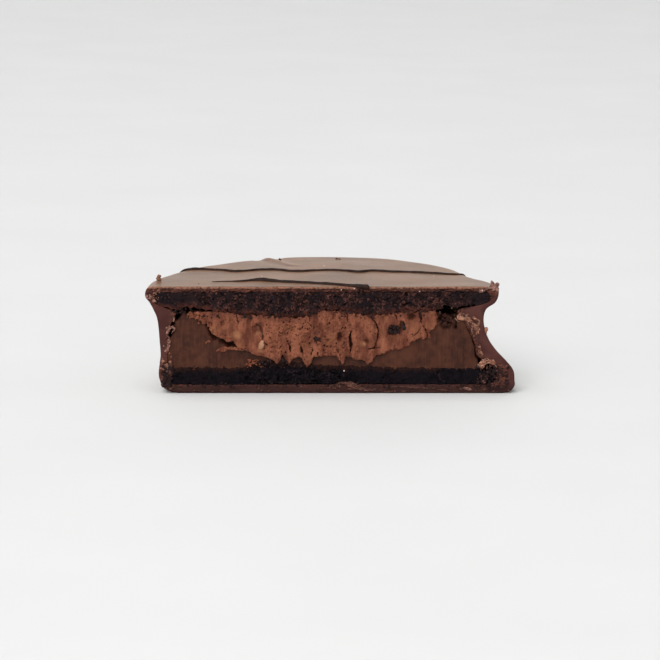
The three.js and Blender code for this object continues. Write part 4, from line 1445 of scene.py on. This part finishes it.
# Pieces of shavings, as (name, slot, finish, strips), each strip as shaving() takes it.
SHAVINGS = (
    ("peeled_coat", "chocolate_coat", "chocolate_flake", (
        (((23.6, 14.3), (24.5, 14.75), (25.6, 14.2), (26.5, 13.0), (27.2, 11.6)),
         0.62, 0.05, 1201, 0.1, 0.16, 0.07, 0.4),
        (((27.7, 5.4), (28.8, 5.9), (30.1, 5.9), (30.9, 5.4)), 0.42, 0.0, 1207, 0.1, 0.2, 0.1, 0.3),
        *flakes(((23.9, 14.6), (25.5, 14.2), (26.7, 12.7), (27.3, 11.2)), 12, 1.9, 0.2, 0.2, 1211, 0.3, 0.22),
        *flakes(((27.7, 9.0), (28.3, 7.4)), 5, 1.0, 0.2, 0.16, 1231, 0.25, 0.5),
        *flakes(((28.0, 5.5), (29.4, 5.9), (30.8, 5.5)), 11, 1.6, 0.22, 0.22, 1251, 0.35, 0.3),
    )),
    ("base_flakes", "chocolate_coat", "base_flake", (
        (((0.9, 1.2), (2.6, 1.9), (4.4, 1.6), (6.3, 0.8)), 0.42, -0.1, 211, 0.14, 0.3, 0.16),
        (((3.2, 0.9), (5.0, 1.0), (7.4, 0.6)), 0.26, -0.16, 219, 0.14, 0.3, 0.12),
        (((10.2, 1.2), (13.0, 1.3), (16.0, 1.1), (19.7, 1.0)), 0.12, -0.1, 212, 0.1, 0.15, 0.06),
        (((10.0, 0.4), (12.5, 0.35), (15.5, 0.5)), 0.12, -0.06, 220, 0.1, 0.2, 0.06),
        (((-3.0, 0.9), (-1.0, 1.1), (1.2, 1.0)), 0.12, -0.02, 216, 0.1, 0.2, 0.08),
        (((7.0, 0.6), (8.6, 0.8)), 0.2, -0.05, 218, 0.14, 0.25, 0.1),
        *flakes(((27.2, 10.8), (27.6, 9.2), (28.0, 6.8)), 8, 0.8, 0.15, 0.18, 1431, 0.2, 0.6),
        (((19.4, 0.5), (20.6, 0.7), (22.4, 0.5)), 0.14, -0.05, 226, 0.1, 0.2, 0.08),
    )),
    ("pale_flakes", "chocolate_coat", "pale_flake", (
        *flakes(((-28.9, 13.6), (-30.0, 11.0), (-30.6, 8.0)), 10, 1.0, 0.28, 0.28, 1301),
        *flakes(((-33.5, 19.0), (-33.2, 18.2), (-32.6, 17.2)), 6, 0.8, 0.2, 0.22, 1321),
        (((24.1, 0.8), (25.3, 1.0), (26.5, 0.7)), 0.26, -0.12, 213, 0.16, 0.25, 0.1),
        *flakes(((27.8, 19.5), (29.0, 19.6)), 3, 0.9, 0.22, 0.15, 1341),
        (((30.4, 19.4), (30.2, 20.3), (29.9, 21.3)), 0.5, 0.1, 214, 0.12, 0.14, 0.05, 0.55),
        (((31.0, 19.2), (30.9, 20.1), (31.1, 20.9)), 0.5, 0.12, 229, 0.12, 0.14, 0.05, 0.4),
        (((30.5, 19.6), (30.6, 20.2), (30.5, 20.7)), 0.5, 0.05, 230, 0.12, 0.14, 0.05, 0.3),
        (((29.2, 19.9), (30.3, 20.15), (31.3, 19.8)), 0.32, 0.0, 228, 0.12, 0.15, 0.08, 0.2),
    )),
    ("dark_chips", "cocoa_biscuit", "dark_chip", (
        (((13.9, 12.0), (13.7, 12.8), (13.6, 13.7)), 0.36, -0.35, 221, 0.3, 0.12, 0.05, 0.75),
        (((12.7, 11.5), (12.6, 12.3), (12.4, 12.9)), 0.2, -0.35, 222, 0.3, 0.12, 0.05, 0.6),
        (((-3.1, 10.5), (-2.2, 10.3), (-1.7, 9.9)), 0.26, -0.35, 224, 0.3, 0.12, 0.05, 0.4),
    )),
    ("filling_smears", "light_filling", "torn_filling", (
        (((-21.2, 8.0), (-19.6, 8.4), (-17.6, 8.5), (-16.0, 8.1)), 0.44, 0.02, 231, 0.3, 0.2, 0.06, 0.5),
        (((-23.2, 9.4), (-22.6, 9.8), (-22.2, 9.6)), 0.24, 0.05, 232, 0.2, 0.12, 0.06),
        (((-15.4, 5.2), (-14.6, 5.6), (-13.7, 5.9)), 0.26, -0.05, 233, 0.2, 0.2, 0.1, 0.5),
        (((-14.4, 6.0), (-13.8, 6.3), (-13.2, 6.2)), 0.2, 0.0, 235, 0.2, 0.2, 0.1, 0.5),
    )),
)
for name, slot, finish_name, strips in SHAVINGS:
    keep(shavings(name, finish_name, strips), slot)

# Pieces of crumbs, as (name, slot, finish, seed, roughness, groups), each group a maker and what it takes.
LOOSE_BITS = (
    ("biscuit_crumbs", "cocoa_biscuit", "loose_crumb", 251, 1.1, (
        (strewn, 150, (27.2, 0.9), (33.2, 5.0), (-0.1, 0.25), (0.1, 0.4)),
        (strewn, 90, (-26, 14.3), (20, 15.6), (-0.5, -0.1), (0.1, 0.34)),
        (strewn, 50, (-31, 1.2), (27, 1.9), (-0.25, 0.1), (0.1, 0.3)),
        (strewn, 16, (-31, 4.4), (-12, 5.2), (-0.05, 0.25), (0.1, 0.22)),
        (strewn, 40, (-13.6, 5.2), (-4.5, 6.5), (-0.35, 0.0), (0.1, 0.4)),
        (strewn, 110, (-31.1, 1.2), (-29.4, 5.2), (-0.2, 0.2), (0.14, 0.46)),
        (strewn, 40, (-33, 16.6), (29, 19.4), (-0.35, 0.0), (0.1, 0.26)),
        (strewn, 26, (-29, 14.8), (-25, 16.4), (-0.1, 0.3), (0.12, 0.3)),
        (strewn, 40, (10.7, 11.4), (12.9, 12.7), (-0.35, 0.15), (0.16, 0.4)),
        (strewn, 5, (-3.2, 9.8), (-1.7, 10.6), (-0.45, -0.3), (0.12, 0.26)),
    )),
    ("face_crumbs", "cocoa_biscuit", "face_crumb", 259, 1.3, (
        (strewn, 150, (-14, 15.2), (21, 18.0), (-0.12, 0.14), (0.08, 0.32)),
        (strewn, 50, (-31, 16.6), (22, 18.9), (-0.06, 0.12), (0.08, 0.22)),
    )),
    ("coat_crumbs", "chocolate_coat", "chocolate_flake", 252, 1.1, (
        (strewn, 18, (-31.0, 5.5), (-29.4, 12.9), (-0.1, 0.3), (0.1, 0.26)),
        (strewn, 18, (-33.0, 17.4), (-31.6, 19.6), (-0.15, 0.1), (0.1, 0.24)),
        (strewn, 16, (-31.4, 4.6), (-29.8, 6.6), (-0.15, 0.1), (0.12, 0.32)),
        (placed, (-32.1, 6.6, 20.5, 0.5), (-32.0, 6.6, 21.0, 0.45), (29.0, 0.4, 12.0, 0.5),
         (28.75, 0.4, 11.5, 0.42)),
    )),
    ("foot_crumbs", "chocolate_coat", "base_flake", 256, 1.1, (
        (strewn, 34, (28.0, 1.0), (33.2, 5.2), (-0.15, 0.1), (0.1, 0.3)),
        (strewn, 34, (-31.3, 0.9), (-29.4, 5.6), (-0.25, 0.1), (0.12, 0.36)),
        (strewn, 24, (-32, 19.2), (30, 20.0), (-0.2, 0.0), (0.08, 0.18)),
        (strewn, 22, (-30, 0.3), (32, 1.6), (-0.25, 0.0), (0.08, 0.24)),
        (placed, (-23.3, 18.1, 20.4, 0.24), (-9.7, 28.3, 20.65, 0.3), (-24.4, 3.0, 20.1, 0.2),
         (34.1, 1.2, 2.7, 0.3), (34.05, 0.6, 1.7, 0.26), (33.3, 0.1, 0.5, 0.24), (1.3, 28.6, 20.75, 0.3),
         (1.9, 28.4, 20.7, 0.26)),
    )),
    ("recess_crumbs", "dark_filling", "recess_crumb", 260, 1.1, (
        (strewn_along, 150, CORE_ROOF, 0.28, (-0.3, 0.1), (0.08, 0.28)),
        (strewn, 26, (20.2, 12.6), (23.2, 15.0), (0.35, 1.2), (0.2, 0.5)),
    )),
    ("filling_crumbs", "light_filling", "torn_filling", 255, 1.1, (
        (strewn, 40, (-26.6, 14.2), (-23.2, 15.3), (-0.35, 0.1), (0.14, 0.42)),
        (strewn, 22, (-24.4, 13.2), (-22.4, 14.4), (-0.3, 0.1), (0.12, 0.34)),
        (strewn, 14, (-15.6, 4.9), (-12.8, 6.4), (-0.3, 0.1), (0.12, 0.3)),
    )),
    ("foot_flakes", "chocolate_coat", "chocolate_flake", 257, 1.1, (
        (round_foot, 46, (38, 62), (1.9, 2.9), (0.12, 0.5)),
        (round_foot, 26, (84, 116), (1.2, 2.2), (0.1, 0.3)),
        (round_foot, 16, (10, 30), (1.2, 2.4), (0.1, 0.3)),
    )),
    ("black_crumbs", "cocoa_biscuit", "loose_crumb", 258, 1.1, (
        (round_foot, 22, (146, 158), (0.6, 2.6), (0.16, 0.5)),
    )),
    ("nut_pieces", "light_filling", "pale_nut", 253, 0.4, (
        (placed, (-12.75, -0.35, 9.2, 0.6), (-12.62, -0.35, 9.8, 0.5), (-12.85, -0.3, 8.8, 0.42)),
    )),
    ("sugar_specks", "chocolate_coat", "sugar_grain", 254, 0.5, (
        (placed, (-12.8, 9.7, 20.4, 0.16), (-7.6, 18.7, 20.6, 0.14), (-1.1, 20.7, 20.65, 0.12),
         (19.6, 10.6, 20.3, 0.19), (4.5, -0.15, 19.8, 0.11), (2.1, -0.15, 19.6, 0.12),
         (16.6, -0.15, 19.3, 0.11), (2.6, -0.15, 4.3, 0.13), (22.6, 0.9, 16.0, 0.13),
         (28.2, -0.25, 19.5, 0.15), (-23.6, 0.3, 20.2, 0.1), (-30.9, -0.2, 9.0, 0.1)),
    )),
)
for name, slot, finish_name, seed, hill, groups in LOOSE_BITS:
    keep(crumbs(name, finish_name, seed, hill, groups), slot)

# ---- floor, light and camera ----

# The board, in millimetres: flat rings, then a curve up into a wall.
BOARD_RINGS = (20.0, 700.0, 1400.0)
BOARD_RADIUS = 2200.0
BOARD_SIDES = 96
WALL_CURVE = 600.0
WALL_STEPS = 10
WALL_HIGH = 1640.0
# The view, in metres and degrees.
VIEW_DISTANCE = 0.600
VIEW_PITCH = math.radians(10.5)
VIEW_HEIGHT = 0.0120
VIEW_WIDTH = 0.12256
NEAREST, FARTHEST = 0.01, 50
# The lamps, as (name, place, aim, size, power), and the even light from everywhere.
SOFTBOXES = (
    ("overhead", (-0.5, -0.1, 2.2), (0, 0, 0), (2.0, 2.0), 30),
    ("front_above", (-0.6, -1.6, 1.5), (0, 0, 0), (1.3, 1.3), 30.5),
    ("pale_wall", (0, 2.0, 0.37), (0, 0, 0.2), (4.0, 1.07), 6.2),
)
SKY_TONE = (0.97, 0.985, 1.0, 1.0)
SKY_STRENGTH = 0.30

bend = np.linspace(0, math.pi / 2, WALL_STEPS)
profile = [(radius, 0.0) for radius in BOARD_RINGS]
profile += [(BOARD_RADIUS + WALL_CURVE * math.sin(a), WALL_CURVE * (1 - math.cos(a))) for a in bend]
profile.append((BOARD_RADIUS + WALL_CURVE, WALL_HIGH))
around = np.linspace(0, 2 * math.pi, BOARD_SIDES, endpoint=False)
rings = [[(radius * math.cos(a), radius * math.sin(a), up) for a in around] for radius, up in profile]
board_points, board_faces = skin(np.array(rings))
board = mesh_piece("board", [(board_points, board_faces[:-1])], "pale_board", {})

world = bpy.data.worlds.new("studio")
world.use_nodes = True
sky = world.node_tree.nodes["Background"].inputs
sky["Color"].default_value, sky["Strength"].default_value = SKY_TONE, SKY_STRENGTH
bpy.context.scene.world = world

for name, place, aim, size, power in SOFTBOXES:
    lamp = bpy.data.lights.new(name, "AREA")
    lamp.shape, lamp.size, lamp.size_y = "RECTANGLE", *size
    lamp.energy = power
    holder = linked(name, lamp)
    holder.location = place
    holder.rotation_euler = (Vector(aim) - Vector(place)).to_track_quat("-Z", "Y").to_euler()
    holder.visible_camera = False

camera = bpy.data.cameras.new("view")
camera.lens = camera.sensor_width * VIEW_DISTANCE / VIEW_WIDTH
camera.clip_start, camera.clip_end = NEAREST, FARTHEST
eye = linked("view", camera)
back, rise_up = VIEW_DISTANCE * math.cos(VIEW_PITCH), VIEW_DISTANCE * math.sin(VIEW_PITCH)
eye.location = (0.0, CUT_Y - back, VIEW_HEIGHT + rise_up)
eye.rotation_euler = (math.pi / 2 - VIEW_PITCH, 0, 0)
bpy.context.scene.camera = eye
bpy.context.scene.view_settings.view_transform = "Standard"

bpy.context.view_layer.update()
